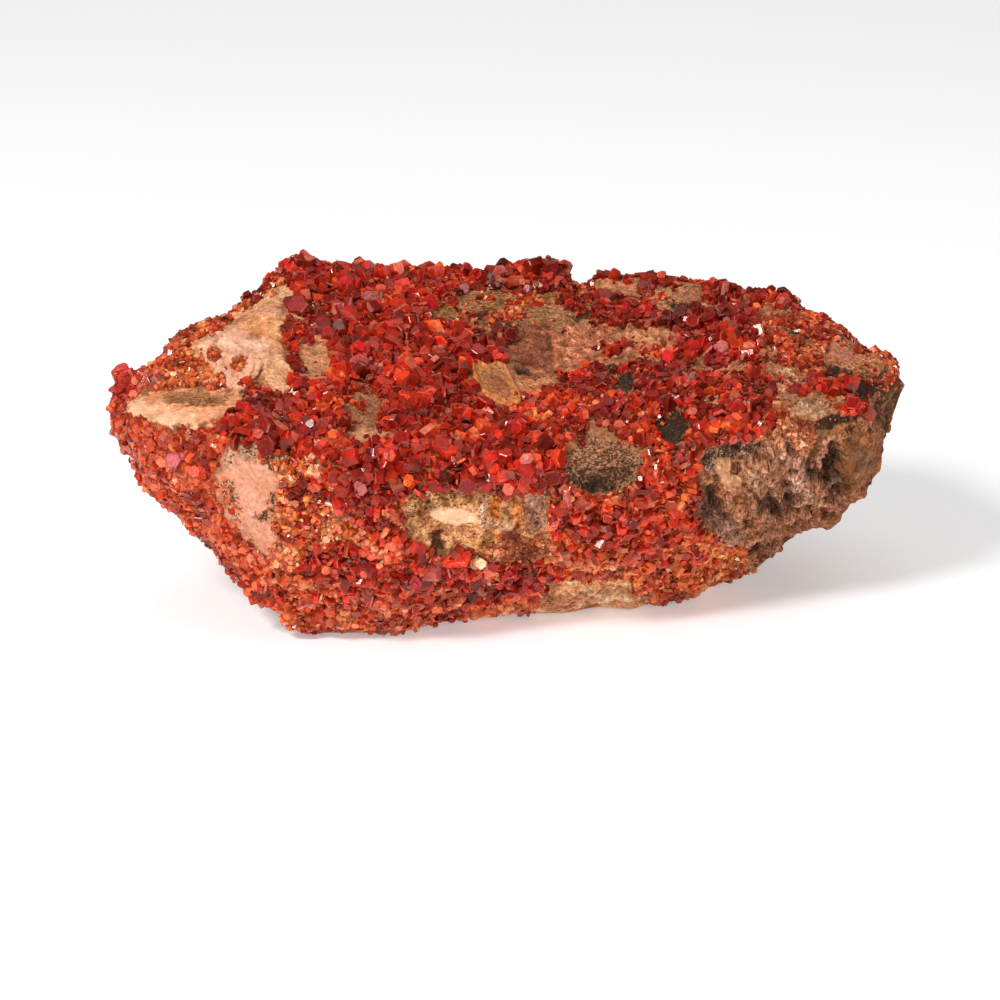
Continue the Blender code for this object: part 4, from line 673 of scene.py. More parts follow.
def rock_relief(s):
    """How far the surface stands out of the lofted shape, metres; and its colour and marks."""
    p, n, u, v, facing = s.p, s.n, s.u, s.v, s.facing
    druse = smoothstep(0.25, 0.8, s.cover)
    out = 0.0011 * s.n62 + 0.0006 * s.n150
    n200, n400 = perlin(p, 210.0, 4), perlin(p, 400.0, 14)
    rough = np.where(np.isin(s.palette, [PALETTE_NAMES.index(k) for k in ("salmon", "rose", "amber", "apricot", "ochre")]), 0.55, 1.2)
    out += druse * rough * (0.00100 * n200 + 0.00055 * n400)
    s.height = n200 + 0.7 * n400
    for cx, cy, rx, ry, h in LUMPS:
        out += h * MM * np.exp(-((u - cx) / rx) ** 2 - ((v - cy) / ry) ** 2) * facing
    # the dip in the skyline goes over to the hidden side
    out -= 2.6 * MM * np.exp(-((u - 579) / 12) ** 2 - ((v - 276) / 16) ** 2)
    # the skyline at the upper left, and the corner at the right end
    for cx, cy, r, h in ((366, 272, 12, 1.3), (268, 266, 13, -2.6), (897, 355, 8, -1.0), (903, 374, 7, 0.6),
                         (893, 409, 14, -1.1)):
        out += h * MM * np.exp(-((u - cx) ** 2 + (v - cy) ** 2) / r ** 2)
    fine, finer, mottle = perlin(p, 700.0, 21), perlin(p, 1600.0, 22), perlin(p, 480.0, 35)
    near, next_, own = worley(p, 420.0, 5)
    near2, next2, own2 = worley(p, 1100.0, 6)
    broad = fbm(p, 45.0, 3, 30)[:, None]
    mid = (0.6 * s.bank[0] + 0.5 * s.bank[2])[:, None]
    hue = (s.bank[1] + 0.7 * s.bank[3])[:, None]
    colour = np.tile(linear(172, 114, 76), (n, 1)) * (1.0 + 0.35 * broad + 0.2 * mid)
    speckle, grain, lift = np.full(n, 0.18), np.full(n, 0.55), np.zeros(n)
    away = 1 - facing
    pale = smoothstep(0.05, 0.35, fbm(p, 60.0, 3, 71)) * away
    dark = smoothstep(0.10, 0.40, fbm(p, 75.0, 3, 72)) * away
    rusty = smoothstep(0.10, 0.40, fbm(p, 95.0, 2, 73)) * away
    for m, c in ((pale, linear(206, 150, 112)), (dark, linear(108, 74, 52)), (rusty, linear(184, 100, 50))):
        colour = colour * (1 - m[:, None] * 0.8) + c * m[:, None] * 0.8
    speckle = speckle + 0.25 * dark

    table = np.array([linear(*GROUND[k]) for k in PALETTE_NAMES])
    under = table[s.palette] * (1.0 + 0.45 * fine[:, None] + 0.3 * mid)
    gold = smoothstep(0.10, 0.45, perlin(p, 420.0, 33))[:, None] * 0.5
    under = under * (1 - gold) + linear(190, 112, 56) * gold
    tan_bits = smoothstep(0.20, 0.50, perlin(p, 620.0, 34) + 0.3 * mid[:, 0])[:, None] * 0.55
    under = under * (1 - tan_bits) + linear(204, 140, 92) * tan_bits
    # painted shade: the ground between the crystals darker where the relief sinks
    under = under * (1 - 0.62 * smoothstep(-0.05, 0.45, -n200 - n400)[:, None])
    colour = colour * (1 - druse[:, None]) + under * druse[:, None]
    grain = grain * (1 - druse) + 1.0 * druse
    speckle = speckle * (1 - druse)

    for row in PLACES:
        name, area, shade, soft, rag, spk, grn, height, bare = row
        mask = s.masks[name]
        level = (1.0 + (0.2 + 0.8 * grn) * (0.50 * fine + 0.22 * finer) + 0.16 * broad[:, 0]
                 + (0.20 + 0.60 * grn) * (mid[:, 0] + 0.75 * mottle))
        tone = linear(*shade) * (toned(level, 1.2, 1.35) + hue * np.array([0.10, 0.0, -0.12]))
        w = mask if bare > 0 or name in ("cream shade",) else mask * (1 - druse)
        colour = colour * (1 - w[:, None]) + tone * w[:, None]
        speckle = speckle * (1 - w) + spk * w
        grain = grain * (1 - w) + grn * w
        lift += height * MM * mask
    out += lift
    # speckles crowd together in patches
    crowd = 0.55 + 0.9 * smoothstep(-0.35, 0.35, s.n150 * 0.5 + s.bank[1])
    speckle = speckle * (crowd * (1 - speckle) + speckle)
    out += grain * (0.00026 * (0.55 - near2) + 0.00014 * finer) + 0.00016 * fine
    # the bare broken face on the right: knobs and steep ridges
    lobe = s.masks["lobe"]
    face = s.masks["right face"] * (1 - 0.75 * lobe)
    rim = smoothstep(0.0, 0.35, s.front)
    warp = np.stack([perlin(p, 420.0, 66), perlin(p, 420.0, 67), perlin(p, 420.0, 68)], 1) * 0.0007
    leaning = p + warp
    leaning = np.stack([leaning[:, 0] + 0.30 * leaning[:, 2], leaning[:, 1], leaning[:, 2]], 1)
    r1 = 3.0 * np.abs(perlin(leaning * np.array([1.0, 1.0, 0.36]), 240.0, 61)) - 0.6
    r2 = 1.7 * perlin(leaning * np.array([1.0, 1.0, 0.34]), 470.0, 62) + 0.5 * perlin(leaning, 620.0, 69)
    r3 = 1.7 * perlin((p + warp * 0.4) * np.array([1.0, 1.0, 0.45]), 1000.0, 63)
    r4 = near2 * -1.6 + 0.8
    ridge = np.clip(0.28 * r1 + 0.42 * r2 + 0.46 * r3, -0.8, 0.9)
    out += face * (0.15 + 0.85 * rim) * (0.00080 * r1 + 0.00072 * r2 + 0.00048 * r3 + 0.00020 * r4)
    # painted light and shade: the face lighter on its ridges, darker in its creases
    colour *= toned(1 + face * np.clip(0.85 * ridge + 0.05, -0.72, 0.62), 1.2, 1.3)
    # painted highlight: paler grey-brown on the raised ridges
    grey = face * smoothstep(0.1, 0.6, r2 + 0.5 * s.bank[1]) * 0.40
    colour = colour * (1 - grey[:, None]) + linear(190, 142, 110) * grey[:, None]
    # painted shade: dark brown down in the creases, which are also sunk
    deep = face * smoothstep(0.20, 0.55, perlin(leaning * np.array([1.0, 1.0, 0.40]), 360.0, 70) - 0.25 * r2) * 0.75
    colour = colour * (1 - deep[:, None]) + linear(84, 48, 32) * deep[:, None]
    out -= deep * 0.0006
    streaks = perlin(p * np.array([1.0, 1.0, 0.15]), 800.0, 64)
    out += lobe * (0.00030 * streaks + 0.0005 * s.bank[0] + 0.0003 * s.bank[2])
    colour *= 1 + lobe[:, None] * (0.45 * streaks + 0.35 * s.bank[1])[:, None]
    s.upright = np.clip(face + 0.25 * lobe, 0, 1)
    # bare ground elsewhere is gently pitted
    ground = s.masks["right ground"] * (1 - druse)
    out += ground * (0.0005 * s.bank[0] + 0.0003 * r3 + 0.0002 * r4)
    tan = np.clip(0.40 * s.masks["upper left cream"] + s.masks["matrix brown"] + s.masks["matrix tan"] + s.masks["tan lower"]
                  + s.masks["bottom patch"] + 0.25 * s.masks["shelf"], 0, 1) * (1 - 0.85 * s.masks["peach oval"])
    out += tan * (0.0005 * s.bank[0] + 0.0003 * s.bank[2] + 0.00024 * r2 + 0.00018 * r3)
    # painted shade and light: tan ground darker where its relief is low, a little lighter on the ridges
    colour *= toned(1 - tan * np.clip(0.10 - 0.75 * ridge, -0.15, 0.5), 1.15, 1.3)
    out += 0.0003 * (s.masks["bottom patch"] + s.masks["tan lower"] * (1 - s.masks["peach oval"])) * r2
    # thin layers that flake off the cream surface, with dark cracks between them
    flaky = s.masks["cream flaky"] + 0.5 * s.masks["upper left cream"] * (1 - s.masks["cream flaky"])
    level = (u * 0.35 + v * 0.95 + 9.0 * s.bank[0] + 5.0 * s.bank[2]) / 6.5
    edge = np.abs(level - np.round(level))
    out += flaky * 0.00016 * ((np.round(level) % 3) - 1.0)
    colour *= 1 - flaky[:, None] * 0.45 * smoothstep(0.10, 0.0, 0.5 - edge)[:, None]
    vein = smoothstep(0.045, 0.0, np.abs(perlin(p, 300.0, 516))) * s.masks["cream flaky"]
    colour *= 1 - 0.35 * vein[:, None]
    # broken steps and cracks on the hidden rock
    back = smoothstep(0.0, -0.25, s.front)
    step = worley(p + warp * 2.0, 85.0, 65)
    b1 = 2.4 * np.abs(perlin(p + warp, 150.0, 75)) - 0.5
    b2 = 2.6 * np.abs(perlin(p + warp, 420.0, 76)) - 0.5
    out += back * (0.0016 * perlin(p, 48.0, 77) + 0.0008 * perlin(p, 110.0, 78))
    out += back * (1 - druse) * (0.0016 * (step[2] - 0.5) * smoothstep(0.0, 0.22, step[1] - step[0])
                                 + 0.0007 * (0.6 - near) + 0.0011 * b1 + 0.0006 * b2 + 0.0003 * r3)
    crack = smoothstep(0.07, 0.0, step[1] - step[0]) * back * (1 - druse) * smoothstep(-0.1, 0.25, s.bank[0])
    colour *= 1 - 0.5 * crack[:, None]
    colour *= 1 + away[:, None] * (1 - druse[:, None]) * (0.30 * (b1 + b2)[:, None] - 0.1)
    out *= smoothstep(0.0004, 0.005, p[:, 2])
    return out, np.clip(colour, 0.002, 0.95), np.clip(speckle, 0, 1), np.clip(grain, 0, 1)


def mesh_of(name, verts, faces_list, smooth, corner_tint=None):
    """Mesh from numpy vertices and a list of face arrays (each of one corner count)."""
    counts = np.concatenate([np.full(len(f), f.shape[1]) for f in faces_list])
    loops = np.concatenate([f.ravel() for f in faces_list]).astype(np.int32)
    me = bpy.data.meshes.new(name)
    me.vertices.add(len(verts))
    me.vertices.foreach_set("co", np.asarray(verts, np.float32).ravel())
    me.loops.add(len(loops))
    me.loops.foreach_set("vertex_index", loops)
    me.polygons.add(len(counts))
    start = np.concatenate([[0], np.cumsum(counts)[:-1]]).astype(np.int32)
    me.polygons.foreach_set("loop_start", start)
    me.polygons.foreach_set("use_smooth", np.full(len(counts), smooth, bool))
    me.update(calc_edges=True)
    if corner_tint is not None:
        at = me.color_attributes.new("tint", 'FLOAT_COLOR', 'CORNER')
        rgba = np.ones((len(corner_tint), 4), np.float32)
        rgba[:, :3] = corner_tint
        at.data.foreach_set("color", rgba.ravel())
    me.validate()
    return me


def colour_attribute(me, name, values):
    at = me.color_attributes.new(name, 'FLOAT_COLOR', 'POINT')
    rgba = np.ones((len(values), 4), np.float32)
    rgba[:, :3] = values
    at.data.foreach_set("color", rgba.ravel())


def add_piece(name, me, material, *nodes, slot=None):
    me.materials.append(material)
    ob = bpy.data.objects.new(name, me)
    bpy.context.scene.collection.objects.link(ob)
    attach(ob, "root")
    if nodes:
        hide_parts(*nodes)
    return ob


# --------------------------------------------------------------- materials
class Nodes:
    """Small helper to lay out a Principled material's nodes."""

    def __init__(self, name):
        self.m = bpy.data.materials.new(name)
        self.m.use_nodes = True
        self.t = self.m.node_tree
        self.bsdf = self.t.nodes["Principled BSDF"]

    def new(self, kind, **settings):
        node = self.t.nodes.new(kind)
        for k, v in settings.items():
            setattr(node, k, v)
        return node

    def link(self, a, b):
        self.t.links.new(a, b)

    def value(self, socket, v):
        if isinstance(v, (int, float)):
            socket.default_value = v
        elif isinstance(v, tuple):
            socket.default_value = v if len(v) == 4 or socket.type == 'VECTOR' else (*v, 1.0)
        else:
            self.link(v, socket)

    def math(self, op, a, b=0.0, c=0.0, clamp=False):
        n = self.new("ShaderNodeMath", operation=op, use_clamp=clamp)
        for s, v in zip(n.inputs, (a, b, c)):
            self.value(s, v)
        return n.outputs[0]

    def mix(self, factor, a, b, blend='MIX'):
        n = self.new("ShaderNodeMix", data_type='RGBA', blend_type=blend)
        self.value(n.inputs["Factor"], factor)
        self.value(n.inputs["A"], a) if not hasattr(n.inputs["A"], "x") else None
        ins = [s for s in n.inputs if s.type == 'RGBA']
        self.value(ins[0], a)
        self.value(ins[1], b)
        return [s for s in n.outputs if s.type == 'RGBA'][0]

    def noise(self, vector, scale, detail=2.0, rough=0.5, distortion=0.0):
        n = self.new("ShaderNodeTexNoise", noise_dimensions='3D')
        self.link(vector, n.inputs["Vector"])
        n.inputs["Scale"].default_value = scale
        n.inputs["Detail"].default_value = detail
        n.inputs["Roughness"].default_value = rough
        n.inputs["Distortion"].default_value = distortion
        return n.outputs["Fac"]

    def voronoi(self, vector, scale, feature='F1'):
        n = self.new("ShaderNodeTexVoronoi", feature=feature)
        self.link(vector, n.inputs["Vector"])
        n.inputs["Scale"].default_value = scale
        return n.outputs["Distance"]

    def ramp(self, value, low, high, a=0.0, b=1.0):
        n = self.new("ShaderNodeMapRange", interpolation_type='SMOOTHSTEP', clamp=True)
        self.link(value, n.inputs["Value"])
        for s, v in zip(n.inputs[1:5], (low, high, a, b)):
            self.value(s, v)
        return n.outputs["Result"]

    def toned(self, colour, f, green, blue):
        """Colour times a brightness that also makes what is darker purer."""
        f = self.math('MAXIMUM', f, 0.02)
        each = self.new("ShaderNodeCombineXYZ")
        for s, v in zip(each.inputs, (f, self.math('POWER', f, green), self.math('POWER', f, blue))):
            self.link(v, s)
        n = self.new("ShaderNodeVectorMath", operation='MULTIPLY')
        self.link(colour, n.inputs[0])
        self.link(each.outputs[0], n.inputs[1])
        return n.outputs[0]

    def attribute(self, name, out="Color"):
        n = self.new("ShaderNodeAttribute", attribute_name=name)
        return n.outputs[out]

    def bump(self, height, strength, distance, normal=None):
        n = self.new("ShaderNodeBump")
        self.link(height, n.inputs["Height"])
        n.inputs["Strength"].default_value = strength
        n.inputs["Distance"].default_value = distance
        if normal is not None:
            self.link(normal, n.inputs["Normal"])
        return n.outputs["Normal"]


def rock_material():
    k = Nodes("host_rock_look")
    where = k.new("ShaderNodeTexCoord").outputs["Object"]
    tint = k.attribute("tint")
    marks = k.new("ShaderNodeSeparateColor")
    k.link(k.attribute("marks"), marks.inputs[0])
    speckle, grain = marks.outputs[0], marks.outputs[1]
    # mineral grain: lighter and darker grains half a millimetre across, each of its own shade
    n1 = k.noise(where, 1500.0, 5.0, 0.70)
    n2 = k.noise(where, 3600.0, 3.0, 0.6)
    cells = k.new("ShaderNodeTexVoronoi", feature='F1')
    k.link(where, cells.inputs["Vector"])
    cells.inputs["Scale"].default_value = 2100.0
    own = k.new("ShaderNodeSeparateColor")
    k.link(cells.outputs["Color"], own.inputs[0])
    strong = k.math('ADD', k.math('MULTIPLY', grain, 0.92), 0.14)
    shade = k.math('ADD', k.ramp(n1, 0.32, 0.68, -0.52, 0.50), k.ramp(n2, 0.32, 0.68, -0.20, 0.20))
    shade = k.math('ADD', shade, k.math('MULTIPLY', k.math('SUBTRACT', own.outputs[0], 0.5), 0.7))
    shade = k.math('ADD', k.math('MULTIPLY', shade, strong), 1.0)
    upright = marks.outputs[2]
    drawn = k.new("ShaderNodeVectorMath", operation='MULTIPLY')
    k.link(where, drawn.inputs[0])
    drawn.inputs[1].default_value = (1.0, 1.0, 0.34)
    grain_up = k.noise(drawn.outputs[0], 1700.0, 6.0, 0.74)
    shade = k.math('ADD', shade, k.math('MULTIPLY', k.ramp(grain_up, 0.36, 0.64, -0.55, 0.55), upright))
    base = k.toned(tint, shade, 1.25, 1.45)
    # rusty and umber stain in the grain
    rust = k.math('MULTIPLY', k.ramp(k.noise(where, 600.0, 4.0, 0.62), 0.52, 0.68), k.math('MULTIPLY', grain, 0.42))
    base = k.mix(rust, base, tuple(linear(176, 92, 46)))
    umber = k.math('MULTIPLY', k.ramp(k.noise(where, 1100.0, 5.0, 0.70), 0.57, 0.68), k.math('MULTIPLY', strong, 0.62))
    base = k.mix(umber, base, tuple(linear(84, 50, 34)))
    pit = k.math('MULTIPLY', k.ramp(k.noise(drawn.outputs[0], 950.0, 6.0, 0.74), 0.56, 0.65), k.math('MULTIPLY', upright, 0.75))
    base = k.mix(pit, base, tuple(linear(76, 40, 26)))
    pale = k.math('MULTIPLY', k.ramp(k.noise(drawn.outputs[0], 2400.0, 5.0, 0.70), 0.56, 0.64), k.math('MULTIPLY', upright, 0.55))
    base = k.mix(pale, base, tuple(linear(212, 162, 132)))
    # black manganese dendrites: thresholded fine noise, denser with the speckle mark
    d1 = k.noise(where, 1900.0, 4.0, 0.70, 0.2)
    edge = k.math('SUBTRACT', 0.72, k.math('MULTIPLY', speckle, 0.30))
    black = k.ramp(k.math('SUBTRACT', d1, edge), 0.0, 0.014)
    black = k.math('MULTIPLY', black, k.ramp(speckle, 0.02, 0.12))
    base = k.mix(k.math('MULTIPLY', black, 0.90), base, tuple(linear(58, 40, 28)))
    # pale flecks
    fleck = k.math('MULTIPLY', k.ramp(k.noise(where, 3000.0, 2.0, 0.5), 0.64, 0.72), k.math('MULTIPLY', grain, 0.5))
    base = k.mix(fleck, base, tuple(linear(226, 186, 158)))
    k.link(base, k.bsdf.inputs["Base Color"])
    k.link(k.ramp(n1, 0.3, 0.7, 0.70, 0.95), k.bsdf.inputs["Roughness"])
    k.bsdf.inputs["IOR"].default_value = 1.5
    k.bsdf.inputs["Specular IOR Level"].default_value = 0.12
    h = k.math('ADD', k.math('MULTIPLY', n1, 1.0), k.math('MULTIPLY', n2, 0.45))
    h = k.math('ADD', h, k.math('MULTIPLY', cells.outputs["Distance"], k.math('MULTIPLY', grain, -0.55)))
    h = k.math('MULTIPLY', h, k.math('ADD', k.math('MULTIPLY', grain, 0.75), 0.35))
    h = k.math('ADD', h, k.math('MULTIPLY', k.math('MULTIPLY', grain_up, upright), 1.3))
    h = k.math('SUBTRACT', h, k.math('MULTIPLY', pit, 0.25))
    k.link(k.bump(h, 1.0, 0.00075), k.bsdf.inputs["Normal"])
    return k.m


def crystal_material(name="vanadinite_look", rough=(0.05, 0.24), sub=0.0):
    k = Nodes(name)
    where = k.new("ShaderNodeTexCoord").outputs["Object"]
    tint = k.attribute("tint")
    n1 = k.noise(where, 1300.0, 3.0, 0.6, 0.4)
    n2 = k.noise(where, 5200.0, 2.0, 0.55)
    body = k.toned(tint, k.math('ADD', k.ramp(n1, 0.28, 0.72, 0.72, 1.26), k.ramp(n2, 0.3, 0.7, -0.10, 0.10)), 1.5, 1.6)
    # orange patches at random: partly the crystal's own colour zoning, partly a painted glow of light shining through
    # it
    zoning_and_glow = k.math('MULTIPLY', k.ramp(k.noise(where, 900.0, 3.0, 0.6, 0.6), 0.54, 0.72), 0.20)
    base = k.mix(zoning_and_glow, body, tuple(linear(204, 56, 16)))
    # fine pale lines: partly veils and healed cracks, partly a painted highlight along edges
    veil_and_highlight = k.math('ABSOLUTE', k.math('SUBTRACT', k.noise(where, 1900.0, 4.0, 0.6, 0.8), 0.5))
    veil_and_highlight = k.math('MULTIPLY', k.ramp(veil_and_highlight, 0.0, 0.020, 1.0, 0.0), 0.15)
    base = k.mix(veil_and_highlight, base, tuple(linear(226, 130, 84)))
    k.link(base, k.bsdf.inputs["Base Color"])
    k.link(k.ramp(k.noise(where, 2000.0, 2.0, 0.5), 0.30, 0.72, *rough), k.bsdf.inputs["Roughness"])
    k.bsdf.inputs["IOR"].default_value = 1.75
    k.bsdf.inputs["Specular IOR Level"].default_value = 0.21
    k.bsdf.inputs["Specular Tint"].default_value = (1.0, 0.80, 0.76, 1.0)
    if sub > 0:
        k.bsdf.inputs["Subsurface Weight"].default_value = sub
        k.bsdf.inputs["Subsurface Radius"].default_value = (1.0, 0.22, 0.10)
        k.bsdf.inputs["Subsurface Scale"].default_value = 0.0007
    h = k.math('ADD', k.math('MULTIPLY', n2, 0.5), k.math('MULTIPLY', n1, 1.0))
    k.link(k.bump(h, 0.22, 0.00012), k.bsdf.inputs["Normal"])
    return k.m


def floor_material():
    k = Nodes("floor_look")
    where = k.new("ShaderNodeTexCoord").outputs["Object"]
    n = k.noise(where, 3.0, 2.0, 0.5)
    k.link(k.mix(n, (0.90, 0.90, 0.90), (0.94, 0.94, 0.94)), k.bsdf.inputs["Base Color"])
    k.bsdf.inputs["Roughness"].default_value = 0.45
    k.bsdf.inputs["IOR"].default_value = 1.4
    k.bsdf.inputs["Emission Color"].default_value = (1, 1, 1, 1)
    k.bsdf.inputs["Emission Strength"].default_value = 0.30
    return k.m


ROCK_LOOK = rock_material()
CRYSTAL_LOOK = crystal_material(sub=0.28)
CRUST_LOOK = crystal_material("ochre_grain_look", (0.45, 0.8))


# --------------------------------------------------------------- rock piece
to_part = np.array([-ORIGIN_X, -ORIGIN_Y, 0.0])
base_grid = rock_points()
ROWS, COLS = base_grid.shape[:2]
base_normal = grid_normals(base_grid)
surface = Surface(base_grid.reshape(-1, 3), base_normal.reshape(-1, 3))
out, colour, speckle, grain = rock_relief(surface)
index = np.arange(ROWS)
ends = np.clip(np.minimum(index + 0.4, ROWS - 0.6 - index) / (0.02 * ROWS), 0, 1)
moved = base_grid + base_normal * (out.reshape(ROWS, COLS) * ends[:, None])[:, :, None]
beyond = np.maximum(moved[:, :, 0] - 0.062, 0.0)
moved[:, :, 0] -= 0.09 * beyond
moved[:, :, 2] = np.maximum(moved[:, :, 2], 0.0)
moved[:, :, 2][base_grid[:, :, 2] < 1e-6] = 0.0
tips = np.array([moved[0].mean(0) - (0.0007, 0, 0), moved[-1].mean(0) + (0.0007, 0, 0)])
verts = np.vstack([moved.reshape(-1, 3), tips])
gi, gj = np.meshgrid(np.arange(ROWS - 1), np.arange(COLS), indexing="ij")
quads = np.stack([(gi * COLS + gj).ravel(), (gi * COLS + (gj + 1) % COLS).ravel(),
                  ((gi + 1) * COLS + (gj + 1) % COLS).ravel(), ((gi + 1) * COLS + gj).ravel()], 1)
quad_column = gj.ravel()
rim_j = np.arange(COLS)
cap_a = np.stack([rim_j, (rim_j + 1) % COLS, np.full(COLS, ROWS * COLS)], 1)[:, ::-1]
cap_b = np.stack([(ROWS - 1) * COLS + rim_j, (ROWS - 1) * COLS + (rim_j + 1) % COLS, np.full(COLS, ROWS * COLS + 1)], 1)
all_colour = np.vstack([colour, colour[:COLS].mean(0), colour[-COLS:].mean(0)])
all_marks = np.stack([np.append(speckle, [0.2, 0.2]), np.append(grain, [0.5, 0.5]), np.append(surface.upright, [0, 0])], 1)


def rock_part(name, quad_sel, tri_list):
    faces = [quads[quad_sel]] + [t for t in tri_list if len(t)]
    used = np.unique(np.concatenate([f.ravel() for f in faces]))
    number = np.full(len(verts), -1)
    number[used] = np.arange(len(used))
    me = mesh_of(name, verts[used] + to_part, [number[f] for f in faces], True)
    colour_attribute(me, "tint", all_colour[used])
    colour_attribute(me, "marks", all_marks[used])
    # the two parts meet without a seam: both carry the normals of the whole rock
    me.normals_split_custom_set_from_vertices([tuple(v) for v in vertex_normals[used]])
    add_piece(name, me, ROCK_LOOK, "host_rock", slot="host_rock")


moved_normal = grid_normals(moved).reshape(-1, 3)
vertex_normals = np.vstack([moved_normal, [[-1, 0, 0], [1, 0, 0]]])
low_side = (quad_column >= TOP_CELLS) & (quad_column < TOP_CELLS + FRONT_CELLS + FOOT_CELLS)
cap_low = (rim_j >= TOP_CELLS) & (rim_j < TOP_CELLS + FRONT_CELLS + FOOT_CELLS)
rock_part("host_rock_top_and_back", ~low_side, [cap_a[~cap_low], cap_b[~cap_low]])
rock_part("host_rock_front_and_foot", low_side, [cap_a[cap_low], cap_b[cap_low]])
tree = BVHTree.FromPolygons([tuple(v) for v in verts], [tuple(q) for q in quads.tolist()])


def hit(across, down):
    """Point and normal where the outline sight line meets the finished rock surface (outline axes)."""
    for step in range(40):
        a, b = on_sight_line(across, down, -90), on_sight_line(across, down, 60)
        place, normal, index, far = tree.ray_cast(a, (b - a).normalized(), 1.0)
        if place is not None:
            if normal.dot(b - a) > 0:
                normal = -normal
            return place, normal
        across += (500 - across) * 0.006
        down += (450 - down) * 0.02
    return None, None


def smooth_field(grid, passes):
    g = grid.copy()
    for _ in range(passes):
        g = (g + np.roll(g, 1, 1) + np.roll(g, -1, 1)) / 3
        h = g.copy()
        h[1:-1] = (g[:-2] + g[1:-1] + g[2:]) / 3
        g = h
    return g


soft_normal = grid_normals(smooth_field(moved, 5)).reshape(-1, 3)

# --------------------------------------------------------------- scattering the crystals
tri = np.vstack([quads[:, [0, 1, 2]], quads[:, [0, 2, 3]]])
tri_cross = np.cross(verts[tri[:, 1]] - verts[tri[:, 0]], verts[tri[:, 2]] - verts[tri[:, 0]])
tri_area = 0.5 * np.linalg.norm(tri_cross, axis=1)
SIZES = [1.85, 1.6, 1.4, 1.2, 1.04, 0.90, 0.78, 0.67, 0.58, 0.50, 0.43, 0.37, 0.31, 0.26]
CELL = 0.0024
cells = {}
kept = {"p": [], "n": [], "r": [], "at": []}


def scatter():
    for size in SIZES:
        r_mm = size
        at = tri[:, 0]
        fits = (surface.high[at] * 1.10 >= r_mm) & (surface.low[at] * 0.80 <= r_mm)
        share = surface.cover[at] * fits
        weight = tri_area * share
        total = weight.sum() * 1e6
        if total <= 0:
            continue
        dense = 0.55 if size > 1.3 else 0.9 if size > 1.0 else 1.5 if size > 0.6 else 2.3
        tries = int(dense * total / (size * size) / (1.0))
        pick = rng.choice(len(tri), size=tries, p=weight / weight.sum())
        r1, r2 = np.sqrt(rng.random(tries)), rng.random(tries)
        a, b, c = verts[tri[pick, 0]], verts[tri[pick, 1]], verts[tri[pick, 2]]
        p = a * (1 - r1)[:, None] + b * (r1 * (1 - r2))[:, None] + c * (r1 * r2)[:, None]
        at = tri[pick, 0]
        r = size * rng.uniform(0.9, 1.12, tries)
        # the largest of a field are rarer than its ordinary ones, and stand in the middle of clumps
        top = r / surface.high[at]
        ok = rng.random(tries) < np.where(top > 0.9, 0.22, np.where(top > 0.72, 0.48, np.where(top > 0.55, 0.85, 1.0)))
        ok &= p[:, 2] > 0.0012
        for q, r_, k in zip(p[ok].tolist(), (r[ok] * MM).tolist(), at[ok].tolist()):
            x, y, z = q
            cx, cy, cz = int(x // CELL), int(y // CELL), int(z // CELL)
            clash = False
            for ix in (cx - 1, cx, cx + 1):
                for iy in (cy - 1, cy, cy + 1):
                    for iz in (cz - 1, cz, cz + 1):
                        for ox, oy, oz, orad in cells.get((ix, iy, iz), ()):
                            dx, dy, dz = x - ox, y - oy, z - oz
                            lim = max(0.52 * (r_ + orad), 0.80 * orad)
                            if dx * dx + dy * dy + dz * dz < lim * lim:
                                clash = True
                                break
                        if clash:
                            break
                    if clash:
                        break
                if clash:
                    break
            if clash:
                continue
            cells.setdefault((cx, cy, cz), []).append((x, y, z, r_))
            kept["p"].append(q)
            kept["r"].append(r_)
            kept["at"].append(k)


def sugar(share_of_area, low, high, weight):
    """Tiny grains dusted over the surface by weight; no spacing, they sit on and between the others."""
    w = tri_area * weight[tri[:, 0]]
    number = int(share_of_area * w.sum() * 1e6 / (1.0))
    pick = rng.choice(len(tri), size=number, p=w / w.sum())
    r1, r2 = np.sqrt(rng.random(number)), rng.random(number)
    a, b, c = verts[tri[pick, 0]], verts[tri[pick, 1]], verts[tri[pick, 2]]
    p = a * (1 - r1)[:, None] + b * (r1 * (1 - r2))[:, None] + c * (r1 * r2)[:, None]
    ok = p[:, 2] > 0.0008
    kept["p"] += p[ok].tolist()
    kept["r"] += (rng.uniform(low, high, number)[ok] * MM).tolist()
    kept["at"] += tri[pick, 0][ok].tolist()


# --------------------------------------------------------------- crystal shapes
def many_sided(d):
    """Corners of prisms' sections whose m sides stand at distances d (N, m) from the middle: (N, m, 2)."""
    m = d.shape[1]
    angle = 2 * math.pi / m
    normals = np.array([[math.cos(angle * i), math.sin(angle * i)] for i in range(m)])
    nk, nj = normals, np.roll(normals, -1, axis=0)
    dk, dj = d[:, :, None], np.roll(d, -1, axis=1)[:, :, None]
    c = math.cos(angle)
    return ((dk - dj * c) * nk + (dj - dk * c) * nj) / (1 - c * c)


def random_turns(axis, spin):
    """Rotation matrices that take Z to axis, with spin about it."""
    z = axis / np.linalg.norm(axis, axis=1, keepdims=True)
    helper = np.where(np.abs(z[:, 2:3]) < 0.9, np.array([[0, 0, 1.0]]), np.array([[1.0, 0, 0]]))
    x = np.cross(helper, z)
    x /= np.linalg.norm(x, axis=1, keepdims=True)
    y = np.cross(z, x)
    c, s = np.cos(spin)[:, None], np.sin(spin)[:, None]
    return np.stack([x * c + y * s, -x * s + y * c, z], axis=2)


